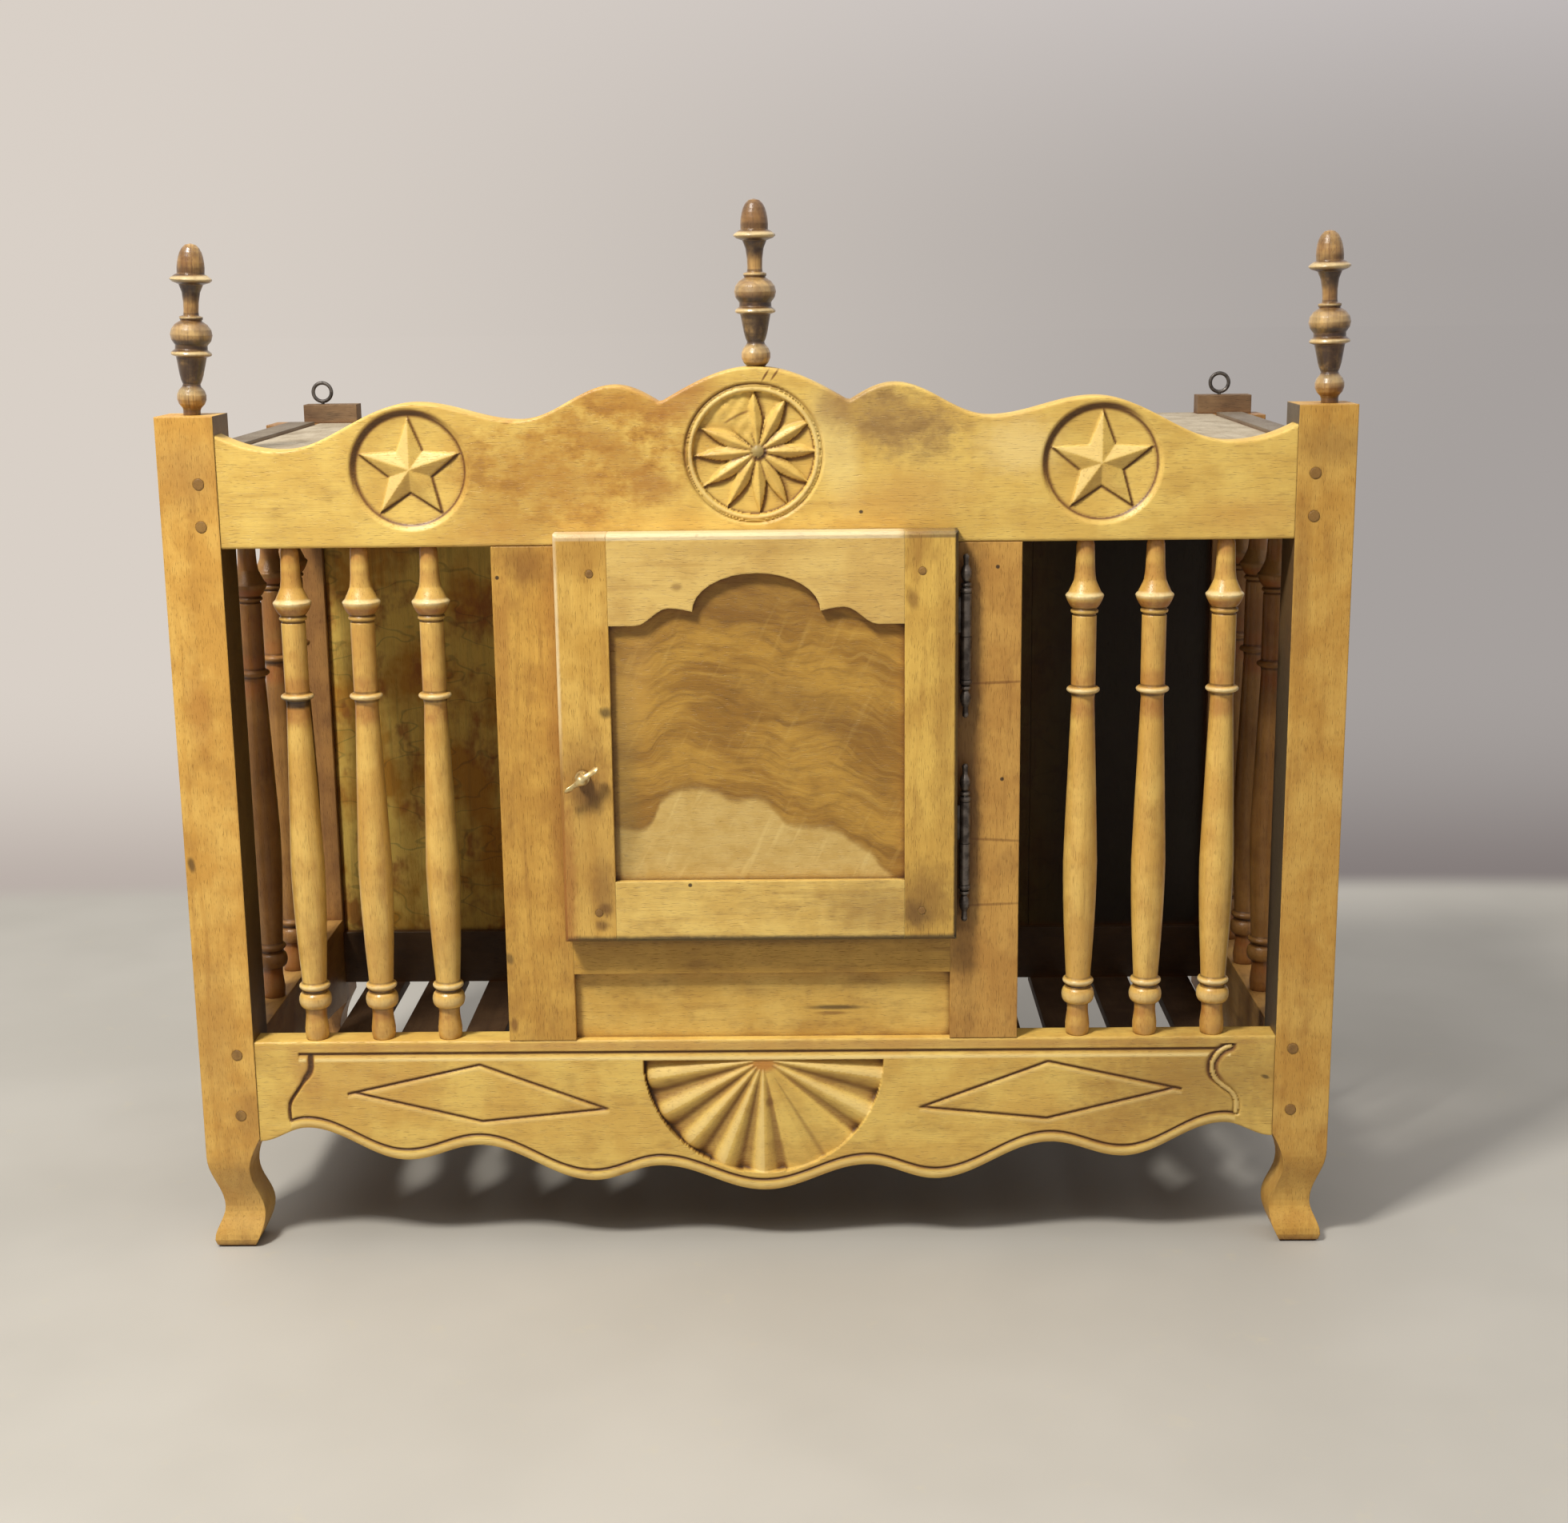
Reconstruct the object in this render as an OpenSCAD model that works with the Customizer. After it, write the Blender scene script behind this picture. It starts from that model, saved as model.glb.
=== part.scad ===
// Bread cabinet with a carved crest, turned spindles and one framed door.
// X runs to the viewer's right, Y to the back and Z up. Every module is drawn with
// y = 0 on the front faces of the corner posts, and place() moves it to the frame.

/* [Case] */
// Width over the corner posts
cabinet_w = 950; // [910:1:1010]
// Depth over the corner posts
cabinet_d = 410; // [380:1:470]
// Width of a corner post, seen from the front
post_w = 46.5; // [42:0.5:52]
// Depth of a corner post
post_d = 47; // [44:0.5:56]
// Height of a front post above the lower edge of the crest
post_rise = 105.5; // [96:0.5:120]
// Height of the top of the apron above the floor
apron_top_z = 186; // [180:0.5:200]
// Height of the front opening, from the apron to the crest
opening_h = 416; // [396:0.5:446]
// Thickness of the rails and muntins
rail_t = 24; // [22:0.5:26]
// Distance of the front rails behind the faces of the posts
rail_setback = 1; // [0.5:0.1:2]

/* [Feet] */
// Height where the outer curve of the foot begins
foot_h = 84; // [78:1:88]
// Depth of the hollows on the outer faces of the foot
foot_hollow = 10.5; // [6:0.5:13]
// Depth of the hollows on the inner faces, below the apron
foot_inner_hollow = 11; // [6:0.5:12]

/* [Crest] */
// Height of the centre of the crest above its lower edge
crown_h = 139.5; // [132:0.5:150]
// Height of the two cusps beside the crown
cusp_h = 112; // [106:0.5:118]
// Height of the small shoulders beside the cusps
shoulder_h = 126; // [120:0.5:130]
// Height of the dips between the shoulders and the stars
dip_h = 99.5; // [94:0.5:104]
// Height of the humps over the stars
star_hump_h = 114; // [110:0.5:120]
// Height of the low dips at the ends
end_dip_h = 77.5; // [74:0.5:82]
// Height of the crest where it meets the posts
crest_end_h = 90.5; // [86:0.5:96]
// Distance of a cusp from the centre
cusp_x = 75; // [68:1:80]
// Distance of a shoulder from the centre
shoulder_x = 111; // [104:1:118]
// Distance of a star from the outer edge of its muntin
star_inset = 62.5; // [56:0.5:66]
// Height of the centres of the stars above the lower edge
star_rise = 61.5; // [58:0.5:64]
// Radius of the round field of a star
star_field_r = 47; // [42:0.5:50]
// Radius to the points of a star
star_r = 40; // [34:0.5:41]
// Height of the centre of the rosette above the lower edge
rosette_rise = 72.5; // [70:0.5:76]
// Outer radius of the groove round the rosette
rosette_r = 57; // [54:0.5:60]
// Number of petals
petal_n = 12; // [8:1:14]
// Depth of the hollow carved fields at their centres
carve_depth = 5; // [3.5:0.1:5.5]
// Depth of the carved fields at their rims
carve_rim = 2.2; // [1.5:0.1:2.8]

/* [Apron] */
// Height of the highest part of the scalloped edge, near the posts
scallop_top_z = 109; // [104:1:114]
// Height of the lowest point of the apron, in the middle
scallop_low_z = 50.5; // [44:0.5:58]
// Radius of the carved shell
shell_r = 101; // [90:1:104]
// Depth of the carved shell
shell_depth = 8; // [4:0.5:9]
// Number of ribs in the shell
shell_ribs = 9; // [7:2:11]
// Depth of the incised lines
line_depth = 1.2; // [0.6:0.1:2]
// Width of the incised lines
line_w = 2.6; // [1.5:0.1:4]
// Width of the bead that follows the scalloped edge
bead_w = 10; // [7:0.5:12]

/* [Spindles] */
// Distance between the spindles of a front bay
front_pitch = 56.3; // [52:0.1:60]
// Distance between the spindles of a side
side_pitch = 79; // [70:1:85]
// Largest radius of a spindle, at its collar
collar_r = 15.5; // [14:0.1:18]
// Radius of the plain upper shaft
shaft_r = 9.9; // [9:0.1:11]
// Radius of the swelling lower shaft
belly_r = 14; // [12.5:0.1:16]
// Radius of the round tenons at both ends
spindle_tenon_r = 6; // [5:0.1:6.5]
// Length of those tenons
spindle_tenon_l = 16; // [10:0.5:18]

/* [Door] */
// Width of the opening behind the door
door_opening_w = 313; // [300:1:325]
// Width of a muntin
muntin_w = 56; // [50:0.5:62]
// Thickness of the door
door_t = 20; // [18:0.5:23]
// Gap between the back of the door and the frame
door_gap = 0.6; // [0.4:0.1:1.2]
// Distance that the door covers at each side of its opening
door_lap = 4; // [2:0.5:5]
// Distance that the door covers above its opening
door_lap_top = 11.5; // [6:0.5:14]
// Distance that the door covers below its opening
door_lap_low = 8; // [5:0.5:10]
// Width of a door stile
stile_w = 42.5; // [38:0.5:46]
// Height of the top rail beside the arch
door_top_h = 73.5; // [68:0.5:80]
// Height of the bottom rail
door_bottom_h = 51; // [44:0.5:56]
// Rise of the arch above the straight lower edge
arch_rise = 41.5; // [34:0.5:46]
// Half width of the arch between its cusps
arch_half = 51; // [44:1:56]
// Width of the chamfer round the front of the door
door_chamfer = 2.6; // [1:0.1:4]
// Thickness of the door panel
panel_t = 7; // [6:0.5:9]
// Height of the rail below the door
sill_h = 42; // [38:0.5:46]

/* [Roof and floor] */
// Thickness of the roof boards
roof_t = 14; // [10:0.5:18]
// Height of the top of the roof above the lower edge of the crest
roof_rise = 75; // [73:0.5:76]
// Number of roof boards
roof_n = 4; // [2:1:4]
// Thickness of the floor slats
slat_t = 10; // [8:0.5:12]
// Height of the top of the floor
floor_z = 121; // [119:0.5:128]
// Number of floor slats
slat_n = 14; // [10:1:15]
// Gap between floor slats
slat_gap = 24; // [12:0.5:28]
// Extra room at the left end of the row of floor slats
slat_lead = 11.4; // [0:0.1:14]
// Thickness of the back boards
back_t = 8; // [6:0.5:10]
// Number of back boards
back_n = 5; // [3:1:5]

/* [Finials] */
// Height of a corner finial above its seat
finial_h = 134; // [125:0.5:142]
// Lean of the left finial towards the middle
lean_left = 3.4; // [0:0.1:4]
// Lean of the right finial towards the middle
lean_right = 2.2; // [0:0.1:4]
// Distance of the left finial from the middle of its post, inwards
finial_in_left = 1; // [0:0.1:6]
// Distance of the right finial from the middle of its post, outwards
finial_out_right = 5.2; // [0:0.1:6]
// Distance of the centre finial from the middle, to the right
finial_off_centre = 1.8; // [0:0.1:4]
// Distance that the centre finial is let down, cutting its foot
centre_drop = 5; // [3:0.5:6]

/* [Hardware] */
// Radius of a hinge barrel
hinge_r = 4.5; // [4:0.1:5]
// Radius of a hinge pin
pin_r = 2.4; // [2:0.1:2.8]
// Length of one half of a hinge barrel
knuckle_l = 34.5; // [28:0.5:38]
// Radius of the shank of the turn handle
shank_r = 3.5; // [3:0.1:4]
// Length of the bar of the turn handle
handle_l = 34; // [28:0.5:40]
// Slope of the bar at rest
handle_slope = 37; // [20:1:50]
// Length of the latch tongue from the shank
tongue_l = 28; // [24:0.5:32]
// Radius of the wire of a screw eye
wire_r = 1.75; // [1.4:0.05:2.2]
// Radius of the loop of a screw eye, at the middle of the wire
eye_r = 8.75; // [7:0.05:10]
// Radius of the wooden pegs
peg_r = 4.5; // [3.5:0.1:5]

/* [Clearances] */
// Clearance all round a tenon in its mortise
joint_gap = 0.1; // [0.05:0.01:0.2]
// Radial clearance where a pin or shank turns
running_gap = 0.05; // [0.03:0.01:0.08]
// Gap between hinge knuckles
knuckle_gap = 0.5; // [0.3:0.1:0.8]

/* [Hidden] */
$fn = 48;
eps = 0.01;
cut = 1;

half_w = cabinet_w / 2;
inner_half = half_w - post_w;
crest_z = apron_top_z + opening_h;
post_h = crest_z + post_rise;
rail_back = rail_setback + rail_t;
rail_mid = rail_setback + rail_t / 2;
post_front_back = post_d;
rear_post_front = cabinet_d - post_d;

muntin_in = door_opening_w / 2;
muntin_out = muntin_in + muntin_w;
bay_mid = (muntin_out + inner_half) / 2;
star_x = muntin_out + star_inset;
star_z = crest_z + star_rise;
rosette_z = crest_z + rosette_rise;
dip_x = (shoulder_x + star_x) / 2 - 6;
star_hump_x = star_x - 5;
end_dip_x = inner_half - 50;

tenon_t = 9;
tenon_l = 30;
side_tenon_l = 12;
tenon_shoulder = 8;
side_mid_x = inner_half + rail_t / 2;
side_mid_y = cabinet_d / 2;
side_top_z = crest_z + roof_rise + 3;
side_low_z = 100;
rear_rail_back = rear_post_front + rail_t;
rear_rail_mid = rear_post_front + rail_t / 2;
rear_tenon_y = rear_rail_back - tenon_t - 1.5;
rear_low_top_z = 173;
rear_low_z = floor_z;
roof_z = crest_z + roof_rise;
roof_under_z = roof_z - roof_t;
board_groove = 8;
board_gap = 0.2;
slat_z = floor_z - slat_t;
bearer_h = 10;
bearer_d = 18;
ledger_h = 15;

door_back = rail_setback - door_gap;
door_front = door_back - door_t;
door_mid = (door_front + door_back) / 2;
door_half = muntin_in + door_lap;
sill_z = apron_top_z + 100 - sill_h;
door_low = sill_z + sill_h - door_lap_low;
door_high = crest_z + door_lap_top;
stile_in = door_half - stile_w;
top_rail_z = door_high - door_top_h;
bottom_rail_z = door_low + door_bottom_h;
panel_groove = 7;
door_tenon_l = 28;
lower_panel_t = 8;
lower_groove = 6;

hinge_x = door_half + hinge_r + 2.5;
hinge_y = rail_setback - hinge_r - 2.5;
hinge_top_z = crest_z - 75;
hinge_low_z = apron_top_z + 170;
leaf_t = 2.4;
leaf_in = 12;
handle_x = -(door_half - 18.5);
handle_z = apron_top_z + 231;
boss_h = 12;
collar_h = 3;
bar_r = 2.3;
ball_r = 4.6;
tip_r = 3;
tongue_t = 3;
tongue_w = 10;
stub_r = shank_r - 1;
rivet_h = 1.8;
tongue_y = rail_back + 0.8;

block_w = 51;
block_h = 17.5;
block_d = 22;
block_y = cabinet_d - block_d / 2 - 2;
block_left_x = -inner_half + 10.5;
block_right_x = inner_half + 11.5;
eye_y = block_y;
eye_left_x = block_left_x - 9;
eye_right_x = block_right_x - 3.5;
eye_z = roof_z + block_h + eye_r + wire_r + 1;
eye_shank_l = 14;
eye_shank_r = wire_r - 0.15;

proud = boss_h + ball_r - door_front;
frame_y = -(cabinet_d - proud) / 2;

honey = [0.84, 0.66, 0.38];
amber = [0.78, 0.58, 0.31];
brown = [0.45, 0.30, 0.18];
dark = [0.30, 0.20, 0.12];
iron = [0.32, 0.31, 0.30];
brass = [0.80, 0.66, 0.34];

// Curves

function ease(a, b, t) = a + (b - a) * (1 - cos(180 * t)) / 2;
function wave(p, q, n) = [for (i = [1:n]) [p[0] + (q[0] - p[0]) * i / n, ease(p[1], q[1], i / n)]];
// The same for an upright edge, which bends smoothly sideways as it rises
function wave_up(p, q, n) = [for (i = [1:n]) [ease(p[0], q[0], i / n), p[1] + (q[1] - p[1]) * i / n]];
// Quarter bends of an upright edge, upright at the far end or at the near end
function bend_to(p, q, n) = [for (i = [1:n])
  [p[0] + (q[0] - p[0]) * sin(90 * i / n), p[1] + (q[1] - p[1]) * i / n]];
function bend_from(p, q, n) = [for (i = [1:n])
  [q[0] - (q[0] - p[0]) * cos(90 * i / n), p[1] + (q[1] - p[1]) * i / n]];
// A half outline that starts at x = 0, with its mirror image before it
function both(pts) = concat([for (i = [len(pts) - 1:-1:1]) [-pts[i][0], pts[i][1]]], pts);
function shift(pts, dx, dz) = [for (p = pts) [p[0] + dx, p[1] + dz]];
// A turned bead: radius r0 at its ends and r0 + h in its middle
function bead(r0, h, z, half, n = 6) =
  [for (i = [0:n]) let (a = -90 + 180 * i / n) [r0 + h * cos(a), z + half * sin(a)]];
// The outline of a line of width w along a path
function normal_at(p, i) =
  let (a = p[max(i - 1, 0)], b = p[min(i + 1, len(p) - 1)], d = b - a) [-d[1], d[0]] / norm(d);
function stroke(p, w) = concat(
  [for (i = [0:len(p) - 1]) p[i] + normal_at(p, i) * w / 2],
  [for (i = [len(p) - 1:-1:0]) p[i] - normal_at(p, i) * w / 2]);

// Half of the top edge of the crest, from the centre to the post
function crest_half() = concat(
  [for (i = [0:8]) [cusp_x * i / 8, crest_z + cusp_h + (crown_h - cusp_h) * cos(90 * i / 8)]],
  [for (i = [1:5]) [cusp_x + (shoulder_x - cusp_x) * i / 5,
    crest_z + cusp_h + (shoulder_h - cusp_h) * sin(90 * i / 5)]],
  wave([shoulder_x, crest_z + shoulder_h], [dip_x, crest_z + dip_h], 9),
  wave([dip_x, crest_z + dip_h], [star_hump_x, crest_z + star_hump_h], 9),
  wave([star_hump_x, crest_z + star_hump_h], [end_dip_x, crest_z + end_dip_h], 12),
  [for (i = [1:5]) [end_dip_x + (inner_half - end_dip_x) * i / 5,
    crest_z + end_dip_h + (crest_end_h - end_dip_h) * pow(i / 5, 2)]]);

// Half of the lower edge of the apron, from the centre to the post
scallop_x = [0, 88, 145, 242, 303, inner_half - 40.5, inner_half];
scallop_z = [scallop_low_z, 73, 60, 92.5, 79.5, scallop_top_z, 97];
function apron_half() = concat([[0, scallop_z[0]]],
  [for (k = [0:5]) each wave([scallop_x[k], scallop_z[k]], [scallop_x[k + 1], scallop_z[k + 1]], 8)]);
// The same edge as far as the incised end curves, raised by dz
function apron_line(dz) = shift([for (p = apron_half()) if (p[0] < inner_half - 60) p], 0, dz);

// Frame helpers

module place() translate([0, frame_y, 0]) children();
// Extrudes an outline drawn in X and Z from y0 back to y0 + t
module upright(y0, t) translate([0, y0 + t, 0]) rotate([90, 0, 0]) linear_extrude(t) children();
module block(x0, x1, y0, y1, z0, z1) translate([x0, y0, z0]) cube([x1 - x0, y1 - y0, z1 - z0]);
// The same block, larger all round by g
module grown(g, x0, x1, y0, y1, z0, z1) block(x0 - g, x1 + g, y0 - g, y1 + g, z0 - g, z1 + g);
module mirrored(right) mirror([right ? 1 : 0, 0, 0]) children();

// Posts, drawn for the left side

// The foot is sawn to the same S curve from the front and from the side
foot_waist = [half_w - foot_hollow, 35];
foot_toe = [half_w - 2, 7];
foot_heel = [inner_half + 11, 0];
foot_bulge = [inner_half + 1.6, 27];
foot_neck = [inner_half + foot_inner_hollow, 68];
foot_outer = concat(wave_up([half_w, foot_h], foot_waist, 9), wave_up(foot_waist, foot_toe, 6),
  [[half_w - 3.5, 2], [half_w - 7, 0]]);
foot_inner = concat([foot_heel], bend_to(foot_heel, foot_bulge, 5), wave_up(foot_bulge, foot_neck, 8),
  bend_from(foot_neck, [inner_half, foot_h + 16], 6));
function post_points(top) = concat([[half_w, top], [half_w, foot_h]], foot_outer, foot_inner,
  [[inner_half, top]]);
module post_outline(top) polygon([for (p = post_points(top)) [-p[0], p[1]]]);
// Distance of a point of the side outline behind the outer face of the post
function depth_in(p) = p[0] > half_w - post_w / 2 ? half_w - p[0] : post_d - (p[0] - inner_half);
// The same outline seen from the side, from y0 in direction s, a little longer at both ends
module post_side(y0, s, top) translate([-half_w - 1, 0, 0]) rotate([90, 0, 90]) linear_extrude(post_w + 2)
  polygon([for (p = post_points(top + 1)) [y0 + s * depth_in(p), p[1] == 0 ? -0.5 : p[1]]]);

// Mortises of the front rails, in the inner face of a front post
module front_mortises(g) {
  crest_tenon(g);
  apron_tenon(g);
}
module crest_tenon(g) grown(g, -inner_half - tenon_l, -inner_half + cut, rail_mid - tenon_t / 2,
  rail_mid + tenon_t / 2, crest_z + tenon_shoulder, crest_z + end_dip_h - tenon_shoulder);
module apron_tenon(g) grown(g, -inner_half - tenon_l, -inner_half + cut, rail_mid - tenon_t / 2,
  rail_mid + tenon_t / 2, scallop_top_z, apron_top_z - tenon_shoulder / 2);
// Tenons of the side rails, at the front post or the rear post
module side_tenon(g, y0, y1, z0, z1) grown(g, -side_mid_x - tenon_t / 2, -side_mid_x + tenon_t / 2,
  y0, y1, z0 + tenon_shoulder, z1 - tenon_shoulder);
module side_tenons(g, z0, z1) {
  side_tenon(g, post_d - side_tenon_l, post_d + cut, z0, z1);
  side_tenon(g, rear_post_front - cut, rear_post_front + side_tenon_l, z0, z1);
}
module rear_tenon(g, z0, z1) grown(g, -inner_half - tenon_l, -inner_half + cut,
  rear_tenon_y, rear_tenon_y + tenon_t, z0 + tenon_shoulder, z1 - tenon_shoulder);

module front_post() {
  difference() {
    intersection() {
      upright(-1, post_d + 2) post_outline(post_h);
      post_side(0, 1, post_h);
    }
    front_mortises(joint_gap);
    side_tenons(joint_gap, crest_z, side_top_z);
    side_tenons(joint_gap, side_low_z, apron_top_z);
    for (z = peg_heights) frame_peg(-peg_x, z, running_gap);
  }
}
module rear_post() {
  difference() {
    intersection() {
      upright(rear_post_front - 1, post_d + 2) post_outline(roof_z);
      post_side(cabinet_d, -1, roof_z);
    }
    side_tenons(joint_gap, crest_z, side_top_z);
    side_tenons(joint_gap, side_low_z, apron_top_z);
    rear_tenon(joint_gap, crest_z, roof_under_z);
    rear_tenon(joint_gap, rear_low_z, rear_low_top_z);
  }
}
function finial_x(right) = (right ? 1 : -1) * (half_w - post_w / 2)
  + (right ? finial_out_right : finial_in_left);
module finial_hole(right) translate([finial_x(right), post_d / 2, post_h])
  rotate([0, right ? -lean_right : lean_left, 0]) translate([0, 0, -finial_tenon_l])
  cylinder(h = finial_tenon_l + cut, r = finial_tenon_r + running_gap);

// Pegs through the posts into the tenons of the crest and the apron
peg_x = inner_half + 14.5;
peg_heights = [crest_z + 52, crest_z + 18, apron_top_z - 11, scallop_top_z + 12];
peg_l = 24;
module frame_peg(x, z, g) translate([x, -0.4, z]) rotate([-90, 0, 0])
  cylinder(h = peg_l + g, r = peg_r + g);
module front_peg_set(g) for (s = [-1, 1]) for (z = peg_heights) frame_peg(s * peg_x, z, g);

// Turned pieces

// Heights over its lower shoulder where a spindle begins to swell and where it is thickest
belly_from = 50.4;
belly_z = 149.7;
// Outline of a spindle of length l between its shoulders
function spindle_outline(l) = concat(
  [[0, -spindle_tenon_l], [spindle_tenon_r, -spindle_tenon_l], [spindle_tenon_r, 0]],
  [for (p = [[-0.5, 0], [0.1, 5], [0.2, 9], [-0.4, 14], [-1, 19], [-1.2, 23], [-0.8, 27]])
    [shaft_r + p[0], p[1]]],
  bead(shaft_r, 3.7, 34.4, 6.8, 8),
  [[shaft_r + 0.6, 42.6]],
  bead(shaft_r + 1, 2, 46.6, 2.3, 5),
  [for (i = [0:6]) [shaft_r + 0.3 + (belly_r - shaft_r - 0.3) * sin(90 * i / 6),
    belly_from + (belly_z - belly_from) * i / 6]],
  [for (i = [1:9]) [belly_r - (belly_r - shaft_r + 0.6) * pow(i / 9, 1.06),
    belly_z + (l - 129 - belly_z) * i / 9]],
  bead(shaft_r, 3.6, l - 122.2, 2.6, 6),
  [[shaft_r, l - 117.8], [shaft_r, l - 61.5], [shaft_r - 0.8, l - 61], [shaft_r - 0.8, l - 59.8]],
  bead(shaft_r + 0.3, 1, l - 57.8, 1.6, 4),
  [[shaft_r - 0.1, l - 55.6]],
  [for (p = [[-4.5, -54.6], [-2.9, -52.2], [-1.3, -49], [-0.3, -46.2], [0, -45.1], [-0.3, -44.4],
    [-2.1, -42.6], [-3.5, -39.6], [-5.2, -36], [-6.5, -32.8], [-7.3, -27]]) [collar_r + p[0], l + p[1]]],
  [[7.8, l - 20], [7.5, l - 10], [7.2, l - 4], [spindle_tenon_r + 0.4, l - 0.2], [spindle_tenon_r, l - 0.2],
    [spindle_tenon_r, l + spindle_tenon_l], [0, l + spindle_tenon_l]]);
module spindle() translate([0, 0, apron_top_z]) rotate_extrude() polygon(spindle_outline(opening_h));
// Round mortises for the spindles, in the apron or crest plane
module spindle_holes(g) for (z = [apron_top_z - spindle_tenon_l, crest_z - cut]) translate([0, 0, z - g])
  cylinder(h = spindle_tenon_l + cut + g * 2, r = spindle_tenon_r + g);
module front_spindle_place(i) translate([(i < 4 ? -1 : 1) * bay_mid
  + front_pitch * ((i - 1) % 3 - 1), rail_mid, 0]) children();
module side_spindle_place(right, i) translate([(right ? 1 : -1) * side_mid_x,
  side_mid_y + side_pitch * (i - 2), 0]) children();

// Outline of a finial above its seat
finial_tenon_r = 5;
finial_tenon_l = 24;
fz = finial_h / 135;
finial_outline = [for (p = concat(
  [[0, -6], [6.9, -6], [6.9, 4]],
  [for (a = [-50:20:55]) [11.7 * cos(a), 14.2 + 11 * sin(a)]],
  [[6.9, 24.6], [8.2, 27.6], [9.4, 32], [10.7, 39], [12, 46], [15.6, 47.4], [16.2, 48.6], [15.6, 49.8],
    [12.8, 52]],
  [for (a = [-40:20:60]) [16.6 * cos(a), 63.6 + 12.8 * sin(a)]],
  [[9.2, 76.2], [9.2, 77.8], [6.2, 79], [5.9, 82], [6.1, 89], [7.2, 97], [9.6, 103], [14.6, 104.8],
    [16.7, 106.6], [16.3, 107.8], [12.8, 110.4], [10.8, 111.4]],
  [[10.9, 116], [10.5, 120.4], [9.7, 124.6], [8.6, 128.2], [6.8, 131.4], [4.2, 133.9]],
  [[0, 135]])) p * fz];
module finial_turning(lean) rotate([0, lean, 0]) {
  rotate_extrude() polygon(finial_outline);
}
module finial(lean, drop) {
  difference() {
    translate([0, 0, -drop]) finial_turning(lean);
    block(-30, 30, -30, 30, -30, 0);
  }
  difference() {
    rotate([0, lean, 0]) translate([0, 0, -finial_tenon_l + 1])
      cylinder(h = finial_tenon_l + 3, r = finial_tenon_r);
    block(-30, 30, -30, 30, 2, 30);
  }
}

// Carving

// How far raised carving runs into the ground behind it
sunk = 0.8;
// A raised star with five points, drawn in X and Z; its walls are highest between the points
star_wall = 1.2;
star_tip_wall = 0.8;
module star() {
  rim = [for (i = [0:9]) let (a = 90 + 36 * i, tip = i % 2 == 0, r = tip ? star_r : star_r * 0.4)
    [r * cos(a), dish_y(star_field_r, r) - (tip ? star_tip_wall : star_wall), r * sin(a)]];
  front = concat([[0, 0.4, 0]], rim);
  back = [for (p = rim) [p[0], carve_depth + sunk, p[2]]];
  faces = concat(
    [for (i = [0:9]) [0, 1 + (i + 1) % 10, 1 + i]],
    [for (i = [0:9]) [1 + i, 1 + (i + 1) % 10, 11 + (i + 1) % 10, 11 + i]],
    [[for (i = [0:9]) 11 + i]]);
  polyhedron(concat(front, back), faces);
}
// One petal with a ridge, pointing up from the centre of the rosette
petal_tip = rosette_r - 9.5;
petal_half = petal_tip * 0.68 * tan(180 / petal_n) * 0.92;
petal_wall = 1.3;
ring_bead_r = 2.8;
ring_r = rosette_r - 2 - ring_bead_r;
module petal() {
  mid = petal_tip * 0.66;
  d = carve_depth;
  side_y = dish_y(ring_r, mid) - petal_wall;
  top = [[0, d * 0.45, 4], [petal_half, side_y, mid], [0, dish_y(ring_r, petal_tip) - 0.6, petal_tip],
    [-petal_half, side_y, mid], [0, 0.4, mid]];
  low = [for (i = [0:3]) [top[i][0], d + sunk, top[i][2]]];
  faces = [[4, 1, 0], [4, 2, 1], [4, 3, 2], [4, 0, 3],
    [0, 1, 6, 5], [1, 2, 7, 6], [2, 3, 8, 7], [3, 0, 5, 8], [5, 6, 7, 8]];
  polyhedron(concat(top, low), faces);
}
module rosette() {
  for (i = [0:petal_n - 1]) rotate([0, 360 * i / petal_n, 0]) petal();
  translate([0, carve_depth + sunk, 0]) rotate([90, 0, 0]) cylinder(h = carve_depth - 0.4, r = 5);
}
// A rib of the shell, widening from the hub; section points run across the rib
module shell_rib() {
  radii = [7, shell_r * 0.5, shell_r - 10, shell_r - 4, shell_r - 1.5];
  lifts = [0.7, 0.85, 1, 0.85, 0.35];
  slope = tan(90 / shell_ribs) * 0.96;
  n = 7;
  floor_y = shell_depth + sunk;
  pts = [for (k = [0:4]) for (i = [0:n - 1]) let (a = -90 + 180 * i / (n - 1))
    [radii[k] * slope * sin(a), floor_y - (floor_y - 0.4) * lifts[k] * cos(a), -radii[k]]];
  faces = concat(
    [for (k = [0:3]) for (i = [0:n - 1]) let (j = (i + 1) % n) [n * k + i, n * k + j, n * k + n + i]],
    [for (k = [0:3]) for (i = [0:n - 1]) let (j = (i + 1) % n) [n * k + j, n * k + n + j, n * k + n + i]],
    [[for (i = [n - 1:-1:0]) i]], [[for (i = [0:n - 1]) n * 4 + i]]);
  polyhedron(pts, faces);
}

module at_front(x, z) translate([x, rail_setback, z]) children();
module field(r, depth) translate([0, depth, 0]) rotate([90, 0, 0]) cylinder(h = depth + cut, r = r);
// A round field of radius r, hollowed from its rim to its centre
function bowl_r(r) = (r * r + pow(carve_depth - carve_rim, 2)) / (2 * (carve_depth - carve_rim));
function dish_y(r, at) = carve_depth - bowl_r(r) + sqrt(pow(bowl_r(r), 2) - at * at);
module dish(r) intersection() {
  field(r, carve_depth + cut);
  translate([0, carve_depth - bowl_r(r), 0]) sphere(r = bowl_r(r), $fn = 240);
}

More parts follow.
